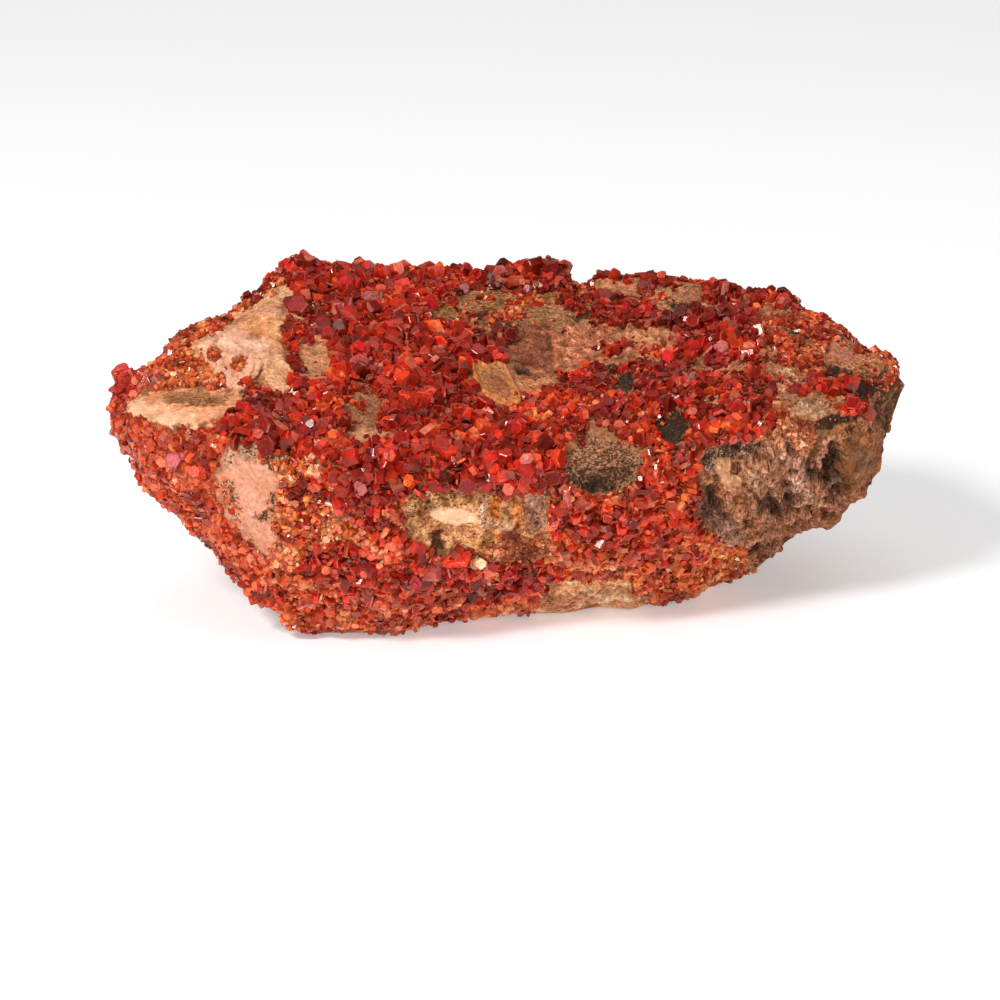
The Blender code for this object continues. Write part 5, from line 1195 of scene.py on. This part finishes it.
def prisms(centre, turn, d, half, bevel=None, hollow=None, taper=None):
    """Crystals as stacks of rings: vertices (N, V, 3), the kind of each ring, faces of one crystal."""
    n, m = d.shape
    rings, kinds = [], []
    t = np.ones(n) if taper is None else taper

    def ring(kind, dist, z):
        xy = many_sided(dist)
        rings.append(np.concatenate([xy, np.broadcast_to(z[:, None, None], (n, m, 1))], 2))
        kinds.append(kind)
    if bevel is None:
        ring("root", d, -half)
        ring("tip", d * t[:, None], half)
    else:
        ring("root", np.maximum(d - bevel[:, None], d * 0.3), -half)
        ring("root", d, -half + bevel * 0.75)
        ring("tip", d * t[:, None], half - bevel * 0.75)
        ring("cap", np.maximum(d * t[:, None] - bevel[:, None], d * 0.3), half)
    if hollow is not None:
        ring("cap", d * hollow[:, None], half)
        ring("root", d * hollow[:, None] * 0.7, half * 0.2)
    local = np.concatenate(rings, 1)
    world = np.einsum('nij,nvj->nvi', turn, local) + centre[:, None, :]
    count = len(rings)
    quads_one = [(k * m + i, k * m + (i + 1) % m, (k + 1) * m + (i + 1) % m, (k + 1) * m + i)
                 for k in range(count - 1) for i in range(m)]
    caps = [tuple(range(m - 1, -1, -1)), tuple((count - 1) * m + i for i in range(m))]
    return world, kinds, np.array(quads_one), np.array(caps)


def faceted(corners, sheen_share, edges=()):
    """Colours at the corners of crystals' faces (N, faces, corners, 3): each face has its own depth of colour, a few
    carry a painted pale pink sheen of reflected light, and the narrow faces numbered in edges are paler, a painted edge
    highlight."""
    n, m = corners.shape[:2]
    own = np.clip(np.exp(rng.normal(0, 0.26, (n, m))), 0.66, 1.7)
    # painted sheen: a share of the faces mixed toward pale pink as if reflecting the lights
    pale = (rng.random((n, m)) < sheen_share) * rng.uniform(0.12, 0.50, (n, m))
    if len(edges):
        # painted highlight: the narrow bevel faces along the edges made paler
        pale[:, list(edges)] = rng.uniform(0.0, 0.30, (n, 1)) * rng.uniform(0.3, 1.2, (n, len(edges)))
    own, pale = toned(own, 1.8, 1.9)[:, :, None, :], pale[:, :, None, None]
    return corners * own * (1 - pale) + linear(230, 136, 100) * pale


class Batch:
    """Collects the crystals of one piece."""

    def __init__(self):
        self.v, self.q, self.h, self.cq, self.ch, self.count = [], [], {}, [], {}, 0

    def add(self, world, colours, quads_one, caps, sheen_share=0.05, edges=()):
        n, per = world.shape[:2]
        shift = (np.arange(n) * per)[:, None, None] + self.count
        self.v.append(world.reshape(-1, 3))
        self.cq.append(faceted(colours[:, quads_one], sheen_share, edges).reshape(-1, 3))
        self.q.append((quads_one[None] + shift).reshape(-1, 4))
        self.h.setdefault(caps.shape[1], []).append((caps[None] + shift).reshape(-1, caps.shape[1]))
        self.ch.setdefault(caps.shape[1], []).append(faceted(colours[:, caps], sheen_share).reshape(-1, 3))
        self.count += n * per

    def faces(self):
        return [np.concatenate(self.q)] + [np.concatenate(h) for h in self.h.values()]

    def mesh(self, name):
        v = np.concatenate(self.v)
        v[:, 2] = np.maximum(v[:, 2], 0.00008)
        tint = np.concatenate([np.concatenate(self.cq)] + [np.concatenate(h) for h in self.ch.values()])
        return mesh_of(name, v + to_part, self.faces(), False, np.clip(tint, 0.001, 0.95))

    def triangles(self):
        return sum(len(f) * (f.shape[1] - 2) for f in self.faces()) if self.count else 0


def shaded(base, kinds, m):
    """Corner colours: tips and roots mixed toward a painted orange glow, as of light shining through the crystal, roots
    also darkened as painted shade down where they meet the rock; caps deep.
    """
    n = len(base)
    parts = []
    bright = base.sum(1, keepdims=True)
    # painted glow: an orange as of light shining through the thin crystal
    glow = 0.45 * base * np.array([1.2, 1.25, 1.0]) + np.array([0.52, 0.078, 0.016]) * (0.28 + 0.55 * bright)
    for kind in kinds:
        if kind == "root":
            w = rng.uniform(0.0, 0.65, (n, 1, 1))
        elif kind == "tip":
            w = rng.uniform(0.0, 0.45, (n, 1, 1))
        else:
            w = np.full((n, 1, 1), 0.02)
        ring = base[:, None, :] * (1 - w) + glow[:, None, :] * w
        ring = ring * rng.uniform(0.82, 1.20, (n, m, 1)) if kind != "cap" else ring * rng.uniform(0.93, 1.07, (n, m, 1))
        # painted shade: roots darkened where they sit down in the crevices
        if kind == "root":
            ring = ring * toned(rng.uniform(0.25, 1.0, (n, 1)), 1.3, 1.4)
        parts.append(ring)
    return np.concatenate(parts, 1)


def base_colours(palette, clump):
    out = np.zeros((len(palette), 3))
    for k, name in enumerate(PALETTE_NAMES):
        sel = np.where(palette == k)[0]
        if len(sel):
            rows = sorted(PALETTES[name], key=lambda r: sum(r[0]))
            w = np.cumsum([s for _, s in rows]) / sum(s for _, s in rows)
            cols = np.array([linear(*c) for c, _ in rows])
            pick = np.clip(0.5 + 0.75 * clump[sel] + rng.uniform(-0.32, 0.32, len(sel)), 0.0, 0.9999)
            out[sel] = cols[np.searchsorted(w, pick)]
    even = np.isin(palette, [PALETTE_NAMES.index(k) for k in ("salmon", "rose")])
    lively = np.isin(palette, [PALETTE_NAMES.index(k) for k in ("dark", "mauve", "fire", "rust", "ember", "foot", "gold", "apricot")])
    own = np.clip(np.exp(rng.normal(0, 1, len(out)) * np.where(even, 0.18, np.where(lively, 0.47, 0.35))), 0.5, 1.8)
    out *= toned(np.minimum(own, 0.90 / np.maximum(out[:, 0], 0.05)), 1.6, 1.7)
    return out * (1 + rng.uniform(-0.05, 0.05, (len(out), 3)))


def across_of(nm, az):
    t1 = np.cross(nm, np.array([0.31, 0.52, 0.79]))
    t1 /= np.linalg.norm(t1, axis=1, keepdims=True)
    return t1 * np.cos(az)[:, None] + np.cross(nm, t1) * np.sin(az)[:, None]


def grow(batches):
    p, r, at = np.array(kept["p"]), np.array(kept["r"]), np.array(kept["at"])
    row = np.clip(at // COLS + np.round(rng.normal(0, 5.5, len(at))).astype(int), 0, ROWS - 1)
    col = (at % COLS + np.round(rng.normal(0, 5.0, len(at))).astype(int)) % COLS
    nearby = row * COLS + col
    nearby = np.where((surface.cover[nearby] > 0.1) | (r < 0.0004), nearby, at)
    nearby = np.where(surface.piece[at] >= PIECES.index("ochre_crust"), at, nearby)
    nm, palette, tab = soft_normal[at], surface.palette[nearby], surface.tablets[at]
    piece, clump = surface.piece[at], perlin(p, 150.0, 301) + 0.5 * perlin(p, 420.0, 302)
    n = len(p)
    is_tablet = rng.random(n) < tab
    half = np.where(is_tablet, r * rng.uniform(0.15, 0.40, n), r * rng.uniform(0.50, 1.15, n))
    scaly = np.isin(surface.palette[at], [PALETTE_NAMES.index("salmon"), PALETTE_NAMES.index("rose")])
    tilt = np.where(is_tablet, np.radians(rng.uniform(15, 90, n)), np.radians(rng.uniform(5, 85, n)))
    tilt = np.where(scaly & is_tablet, np.radians(rng.uniform(4, 52, n)), tilt)
    axis = nm * np.cos(tilt)[:, None] + across_of(nm, rng.uniform(0, 2 * math.pi, n)) * np.sin(tilt)[:, None]
    spin = rng.uniform(0, 2 * math.pi, n)
    reach = r * np.sin(tilt) + half * np.cos(tilt)
    centre = p + nm * (reach * np.where(scaly, rng.uniform(-0.35, 0.38, n), rng.uniform(0.02, 0.62, n)))[:, None]
    # grains on the cream flake stand on its top
    across_p, down_p = reading(p)
    centre += nm * (0.00035 * smoothstep(-1.5, 0.5, ellipse(237, 366, 7, 6)(across_p, down_p)))[:, None]
    stretch = np.where(rng.random(n) < np.where(palette == PALETTE_NAMES.index("dark"), 0.5, 0.15),
                       rng.uniform(1.3, 2.1, n), 1.0)
    base = base_colours(palette, clump)
    # painted shade and light: crystals down between the clumps darker and duller, those on their tops brighter
    high_up = surface.height[at]
    broken = np.isin(palette, [PALETTE_NAMES.index(k) for k in ("dark", "fire", "ember", "foot")])
    depth = np.clip(1.0 + np.where(broken, 0.90, 0.60) * high_up, np.where(broken, 0.45, 0.55), np.where(broken, 1.5, 1.38))
    base *= toned(np.minimum(depth, 0.92 / np.maximum(base[:, 0], 0.05)), 1.5, 1.6)
    base *= toned(np.maximum(1.0, 0.062 / np.maximum(base[:, 0], 0.005)), 1.0, 1.0)
    dust = (r < 0.00040) & (rng.random(n) < 0.55) & (surface.piece[at] < PIECES.index("ochre_crust"))
    base[dust] = base_colours(np.full(int(dust.sum()), PALETTE_NAMES.index("dust")), clump[dust])
    # near-parallel neighbours grown together with the larger crystals
    groups = [(centre, axis, spin, r, half, stretch, base, piece)]
    for turn_no in range(3):
        sel = np.where((r > 0.00066) & (rng.random(n) < (0.55, 0.35, 0.2)[turn_no]))[0]
        k = len(sel)
        lean = rng.normal(0, 0.12, (k, 3))
        ax = axis[sel] + lean
        ax /= np.linalg.norm(ax, axis=1, keepdims=True)
        side = across_of(axis[sel], rng.uniform(0, 2 * math.pi, k))
        rr = r[sel] * rng.uniform(0.45, 0.85, k)
        cc = (centre[sel] + side * (r[sel] * rng.uniform(0.35, 0.85, k))[:, None]
              + axis[sel] * (half[sel] * rng.uniform(-0.9, 0.9, k))[:, None] - nm[sel] * (r[sel] * 0.12)[:, None])
        groups.append((cc, ax, spin[sel] + rng.normal(0, 0.06, k), rr, half[sel] * rng.uniform(0.5, 1.0, k),
                       stretch[sel] ** 0.5, base[sel] * rng.uniform(0.85, 1.15, (k, 1)), piece[sel]))
    centre, axis, spin, r, half, stretch, base, piece = [np.concatenate([g[i] for g in groups]) for i in range(8)]
    n = len(centre)
    turn = random_turns(axis, spin)
    ring_end = (rng.random(n) < 0.010) & (r > 0.0006) & (r < 0.0010)
    big = (r > 0.00092) & ~ring_end
    tiny = (r < 0.00046) & ~ring_end
    plain = ~ring_end & ~big & ~tiny
    for k, name in enumerate(PIECES):
        for kind, group, m in ((0, tiny, 4), (1, plain, 6), (2, big, 6), (3, ring_end, 6)):
            sel = np.where((piece == k) & group)[0]
            if not len(sel):
                continue
            c = len(sel)
            d = r[sel][:, None] * (0.90 if m == 6 else 0.80) * rng.uniform(0.80 if kind == 2 else 0.74, 1.12, (c, m))
            d[:, 0] *= stretch[sel]
            d[:, m // 2] *= stretch[sel]
            if m == 6:
                d[:, 0] = np.minimum(d[:, 0], 1.7 * np.minimum(d[:, 1], d[:, 5]))
                d[:, 3] = np.minimum(d[:, 3], 1.7 * np.minimum(d[:, 2], d[:, 4]))
            bevel = r[sel] * rng.uniform(0.04, 0.15, c) if kind == 2 else None
            hollow = rng.uniform(0.5, 0.66, c) if kind == 3 else None
            world, kinds, q1, caps = prisms(centre[sel], turn[sel], d, half[sel], bevel, hollow,
                                            rng.uniform(0.92 if kind == 2 else 0.86, 1.0, c))
            if name in ("ochre_crust", "limonite_patch"):
                kinds = ["cap"] * len(kinds)
            grainy = name in ("ochre_crust", "limonite_patch")
            # share of faces given a painted sheen; the bevel edges of big crystals get a painted highlight
            batches[name].add(world, shaded(base[sel], kinds, m), q1, caps, 0.0 if grainy else 0.06 if kind == 0 else 0.12,
                              list(range(6)) + list(range(12, 18)) if kind == 2 else ())
    return n


scatter()
druse_share = smoothstep(0.05, 0.5, surface.cover)
near_druse = smoothstep(0.02, 0.35, smooth_field(surface.cover.reshape(ROWS, COLS, 1), 9).reshape(-1)) * (1 - druse_share)
ordinary = (surface.piece < PIECES.index("ochre_crust")).astype(float)
sugar(0.45, 0.20, 0.38, druse_share * ordinary)
sugar(0.60, 0.16, 0.36, near_druse * smoothstep(-0.05, 0.25, surface.bank[0]) * ordinary)
open_ground = (surface.masks["right ground"] + surface.masks["olive ground"]) * (1 - druse_share) * surface.facing
open_ground = np.clip(open_ground, 0, 1) * smoothstep(-0.10, 0.20, surface.bank[1] + 0.6 * surface.bank[3])
sugar(0.30, 0.16, 0.42, open_ground * ordinary * (surface.piece == PIECES.index("druse_right_top")))
batches = {name: Batch() for name in PIECES}
made = grow(batches)
total = 0
for name in PIECES:
    if batches[name].count:
        total += batches[name].triangles()
        look = CRUST_LOOK if name in ("ochre_crust", "limonite_patch") else CRYSTAL_LOOK
        add_piece(name + "_crystals", batches[name].mesh(name + "_crystals"), look, name, slot=name)
        print(name, batches[name].triangles())
print("crystals", made, "triangles", total, "rock", 2 * len(quads))


# --------------------------------------------------------------- thin crusts and flakes
def crust(name, outline, height, shade, marks, rings=18, around=120):
    """Raised plate over an outline: height mm and colour by share of the way out (0 to 1) and direction."""
    pts = np.array(outline, float)
    middle = pts.mean(0)
    close = np.vstack([pts, pts[:1]])
    seg = np.linalg.norm(np.diff(close, axis=0), axis=1)
    run = np.concatenate([[0], np.cumsum(seg)]) / seg.sum()
    t = np.linspace(0, 1, around, endpoint=False)
    edge = np.stack([np.interp(t, run, close[:, 0]), np.interp(t, run, close[:, 1])], 1)
    v, shares, turns = [], [], []
    for k in range(rings + 1):
        share = (k / rings) ** 0.8
        for e, a in zip(edge, t):
            v.append(middle + (e - middle) * share)
            shares.append(share)
            turns.append(a)
            if k == 0:
                break
    v, shares, turns = np.array(v), np.array(shares), np.array(turns)
    place, normal = [], []
    for x, y in v:
        a, b = hit(float(x), float(y))
        place.append(a)
        normal.append(b)
    place = np.array([tuple(q) for q in place])
    normal = np.array([tuple(q) for q in normal])
    mean = normal.mean(0)
    normal = normal * 0.25 + mean / np.linalg.norm(mean)
    normal /= np.linalg.norm(normal, axis=1, keepdims=True)
    h = height(v[:, 0], v[:, 1], shares, turns, place) * MM
    h = np.where(shares > 0.999, -0.0006, h)
    place = place + normal * h[:, None]
    faces_t = np.array([(0, 1 + i, 1 + (i + 1) % around) for i in range(around)])
    faces_q = np.array([(1 + (k - 1) * around + i, 1 + k * around + i, 1 + k * around + (i + 1) % around,
                         1 + (k - 1) * around + (i + 1) % around) for k in range(1, rings) for i in range(around)])
    me = mesh_of(name + "_plate", place + to_part, [faces_t[:, ::-1], faces_q[:, ::-1]], True)
    colour_attribute(me, "tint", np.clip(shade(v[:, 0], v[:, 1], shares, turns, place), 0.003, 0.95))
    colour_attribute(me, "marks", np.tile(marks, (len(v), 1)))
    me.polygons.foreach_set("use_smooth", np.ones(len(me.polygons), bool))
    add_piece(name + "_plate", me, ROCK_LOOK, name, slot=name)


def shell_height(x, y, share, turn, p):
    left_low = smoothstep(2.0, 16.0, (y - 366) * 0.75 - (x - 474) * 0.55 + 14)
    rim = np.exp(-((1 - share) / 0.16) ** 2)
    return 0.25 + 1.1 * rim * (0.20 + 0.80 * left_low) - 0.6 * (1 - share) + 0.16 * perlin(p, 700.0, 501)


def shell_colour(x, y, share, turn, p):
    left_low = smoothstep(2.0, 16.0, (y - 366) * 0.75 - (x - 474) * 0.55 + 14)
    rim = (smoothstep(0.74, 0.92, share + 0.10 * perlin(p, 900.0, 502)) * (0.35 + 0.65 * left_low))[:, None]
    along = perlin(np.stack([p[:, 0] * 0.7 + p[:, 1] * 0.7, (p[:, 0] - p[:, 1]) * 0.25, p[:, 2] * 0.5], 1), 1500.0, 505)
    inner = linear(196, 130, 80) * toned(1 + 0.30 * perlin(p, 1300.0, 503) + 0.35 * perlin(p, 420.0, 504) + 0.55 * along)
    return inner * (1 - rim) + linear(238, 144, 82) * rim


def flake_height(x, y, share, turn, p):
    steps = np.floor((x * 0.55 + y * 0.9 + 7 * perlin(p, 500.0, 511)) / 7.0) % 2
    return 0.16 + 0.12 * steps + 0.10 * perlin(p, 420.0, 512) + 0.04 * perlin(p, 1500.0, 517)


def flake_colour(x, y, share, turn, p):
    crack = smoothstep(0.09, 0.02, np.abs(perlin(p, 420.0, 513)))[:, None] * 0.55
    tone = linear(249, 182, 146) * (1 + 0.12 * perlin(p, 800.0, 514) + 0.10 * perlin(p, 1900.0, 515))[:, None]
    dark = smoothstep(252.0, 258.0, x - (y - 366) * 0.2)[:, None] * smoothstep(0.0, 0.3, perlin(p, 900.0, 518))[:, None] * 0.6
    tone = tone * (1 - dark) + linear(120, 78, 62) * dark
    return tone * (1 - crack) + linear(150, 96, 76) * crack


def scab_height(x, y, share, turn, p):
    return 0.34 - 0.25 * smoothstep(0.75, 1.0, share) + 0.22 * perlin(p, 620.0, 521) + 0.12 * perlin(p, 1500.0, 522)


def scab_colour(x, y, share, turn, p):
    tone = linear(236, 172, 124) * (1 + 0.22 * perlin(p, 700.0, 523) + 0.14 * perlin(p, 1700.0, 524))[:, None]
    edge = smoothstep(0.70, 1.0, share + 0.25 * perlin(p, 1100.0, 525))[:, None] * 0.75
    return tone * (1 - edge) + linear(158, 108, 78) * edge


crust("tan_shell", [(471, 364), (476, 362), (486, 367), (497, 361), (506, 365), (510, 374), (515, 386), (521, 398),
                    (521, 405), (512, 407), (498, 403), (487, 397), (479, 388), (473, 376)], shell_height, shell_colour,
      (0.34, 0.45, 0.0))
crust("cream_flake", [(230, 367), (240, 361), (250, 358), (260, 357), (265, 364), (259, 374), (253, 380), (252, 388),
                      (244, 392), (234, 390), (229, 380)], flake_height, flake_colour, (0.05, 0.10, 0.0))
crust("cream_patch", [(714, 459), (719, 456), (724, 457), (730, 456), (732, 462), (730, 468), (731, 474), (736, 477),
                      (741, 475), (744, 481), (741, 488), (735, 487), (730, 489), (724, 484), (719, 483), (718, 475),
                      (714, 469)], scab_height, scab_colour, (0.04, 0.25, 0.35))

# --------------------------------------------------------------- the crystals that stand out one by one
# MAUVE_SHEEN is red with a painted pinkish sheen of reflected light mixed into its colour
DEEP, RED, MAUVE_SHEEN, SALMON = linear(122, 14, 16), linear(164, 24, 20), linear(184, 88, 84), linear(205, 84, 44)
SINGLES = [   # node, colour, across, down, lift mm, radius mm, height mm, tilt, heading, spin, hollow, neighbours
    ("crystal_skyline_block", DEEP, 551, 271, 1.0, 1.9, 3.0, 78, 285, 10, 0, 4),
    ("crystal_skyline_peak", DEEP, 308, 266, 1.0, 1.7, 3.2, 24, 300, 20, 0, 4),
    ("crystal_red_tablet", RED, 347, 286, 1.2, 2.0, 3.4, 82, 262, 30, 0, 3),
    ("crystal_deep_plate", DEEP, 296, 310, 1.0, 2.3, 1.3, 42, 262, 0, 0, 3),
    ("crystal_pale_skyline", MAUVE_SHEEN, 501, 278, 1.1, 1.6, 1.8, 55, 262, 8, 0, 2),
    ("crystal_mauve_plate", MAUVE_SHEEN * np.array([0.86, 0.62, 0.62]), 358, 371, 1.2, 2.2, 1.4, 50, 268, 30, 0, 2),
    ("crystal_long_blade", RED, 368, 312, 1.3, 1.3, 4.6, 84, 20, 15, 0, 3),
    ("crystal_tip_blade", RED * 1.2 + np.array([0.04, 0.03, 0.02]), 121, 376, 0.9, 1.5, 4.2, 22, 210, 0, 0, 8),
    ("crystal_lilac_left", MAUVE_SHEEN, 178, 459, 1.0, 1.8, 1.6, 62, 240, 12, 0, 2),
    ("crystal_mauve_right", MAUVE_SHEEN, 719, 351, 1.1, 1.6, 1.4, 40, 275, 30, 0, 2),
    ("crystal_twin_tablet_a", RED, 737, 415, 1.2, 1.8, 1.7, 64, 262, 0, 0, 2),
    ("crystal_twin_tablet_b", DEEP, 752, 417, 1.3, 2.2, 1.0, 84, 350, 0, 0, 2),
    ("crystal_corner_red", DEEP, 262, 431, 1.0, 1.9, 2.6, 66, 240, 24, 0, 4),
    ("crystal_front_red", RED, 523, 472, 1.2, 1.8, 3.0, 80, 256, 5, 0, 3),
    ("crystal_pink_blade", MAUVE_SHEEN, 567, 492, 1.3, 0.7, 4.2, 20, 250, 0, 0, 1),
    ("crystal_lower_blade", RED, 515, 583, 1.2, 1.4, 4.4, 82, 318, 12, 0, 2),
    ("crystal_lower_pink", MAUVE_SHEEN * np.array([0.9, 0.7, 0.7]), 427, 571, 1.2, 1.2, 3.8, 84, 330, 20, 0, 2),
    ("crystal_ring", SALMON, 685, 563, 1.0, 1.8, 1.7, 70, 262, 10, 0.62, 2),
    ("crystal_right_red", RED, 852, 406, 0.9, 1.6, 2.2, 60, 262, 0, 0, 4),
]


def turned(tilt, heading, spin):
    return (Matrix.Rotation(math.radians(heading), 3, 'Z') @ Matrix.Rotation(math.radians(tilt), 3, 'Y')
            @ Matrix.Rotation(math.radians(spin), 3, 'Z'))


for node, shade, across, down, lift, radius, height, tilt, heading, spin, hollow, neighbours in SINGLES:
    place, normal = hit(across, down)
    place, normal = np.array(place), np.array(normal)
    turn = np.array(turned(tilt, heading, spin))
    batch = Batch()
    count = 1 + neighbours
    size = np.concatenate([[1.0], rng.uniform(0.40, 0.75, neighbours)])
    side = rng.normal(0, 1, (count, 3))
    side -= normal * (side @ normal)[:, None]
    side /= np.linalg.norm(side, axis=1, keepdims=True)
    centre = place + normal * lift * MM + side * (radius * MM * rng.uniform(0.7, 1.0, count) * (size < 1))[:, None]
    centre -= normal * (radius * MM * 0.45 * (1 - size))[:, None]
    turns = np.repeat(turn[None], count, 0)
    for i in range(1, count):
        wobble = Matrix.Rotation(float(rng.normal(0, 0.25)), 3, Vector(rng.normal(0, 1, 3)))
        turns[i] = np.array(wobble) @ turn
    r = radius * MM * size
    d = r[:, None] * 0.90 * rng.uniform(0.80, 1.10, (count, 6))
    half = height * 0.5 * MM * size * rng.uniform(0.85, 1.0, count)
    hol = np.full(count, hollow) if hollow else None
    world_v, kinds, q1, caps = prisms(centre, turns, d, half, r * 0.14, hol, rng.uniform(0.86, 0.98, count))
    tone = np.repeat(shade[None], count, 0) * rng.uniform(0.85, 1.1, (count, 1))
    batch.add(world_v, shaded(tone, kinds, 6), q1, caps)
    add_piece(node + "_group", batch.mesh(node + "_group"), CRYSTAL_LOOK, node, slot=node)

# --------------------------------------------------------------- floor, light, camera
floor_me = bpy.data.meshes.new("floor")
S = 6.0
floor_me.from_pydata([(-S, -S, -0.00004), (S, -S, -0.00004), (S, S, -0.00004), (-S, S, -0.00004)], [], [(0, 1, 2, 3)])
floor_me.materials.append(floor_material())
floor = bpy.data.objects.new("floor", floor_me)
bpy.context.scene.collection.objects.link(floor)

world = bpy.data.worlds.new("studio")
bpy.context.scene.world = world
world.use_nodes = True
wt = world.node_tree
bg = wt.nodes["Background"]
bg.inputs["Color"].default_value = (1.0, 1.0, 1.0, 1.0)
bg.inputs["Strength"].default_value = 0.17
camera_ray = wt.nodes.new("ShaderNodeLightPath")
white = wt.nodes.new("ShaderNodeBackground")
white.inputs["Color"].default_value = (1, 1, 1, 1)
white.inputs["Strength"].default_value = 1.0
mixer = wt.nodes.new("ShaderNodeMixShader")
wt.links.new(camera_ray.outputs["Is Camera Ray"], mixer.inputs[0])
wt.links.new(bg.outputs[0], mixer.inputs[1])
wt.links.new(white.outputs[0], mixer.inputs[2])
wt.links.new(mixer.outputs[0], wt.nodes["World Output"].inputs["Surface"])


def area_light(name, place, aim, size, power, colour=(1, 1, 1), size_y=None):
    data = bpy.data.lights.new(name, 'AREA')
    data.shape = 'RECTANGLE' if size_y else 'SQUARE'
    data.size = size
    if size_y:
        data.size_y = size_y
    data.energy = power
    data.color = colour
    ob = bpy.data.objects.new(name, data)
    bpy.context.scene.collection.objects.link(ob)
    ob.location = place
    ob.rotation_euler = (Vector(aim) - Vector(place)).to_track_quat('-Z', 'Y').to_euler()
    return ob


area_light("key", (-0.55, -0.62, 0.82), (0, 0, 0.03), 0.25, 10.0)
area_light("top", (0.10, 0.05, 1.25), (0, 0, 0.03), 1.2, 5.0)
area_light("front", (0.15, -1.40, 0.45), (0, 0, 0.03), 0.45, 4.5)
area_light("right", (0.95, -0.35, 0.45), (0, 0, 0.03), 0.3, 1.4)

cam_data = bpy.data.cameras.new("camera")
cam_data.lens = 150.0
cam_data.sensor_width = 36.0
cam_data.clip_start, cam_data.clip_end = 0.01, 50.0
camera = bpy.data.objects.new("camera", cam_data)
bpy.context.scene.collection.objects.link(camera)
camera.location = (SIGHT_X - ORIGIN_X, -ORIGIN_Y - SIGHT_DISTANCE * math.cos(SIGHT_TILT),
                   SIGHT_Z + SIGHT_DISTANCE * math.sin(SIGHT_TILT))
camera.rotation_euler = (math.radians(90.0) - SIGHT_TILT, 0.0, 0.0)
bpy.context.scene.camera = camera
bpy.context.scene.view_settings.view_transform = 'Standard'
bpy.context.scene.view_settings.look = 'None'
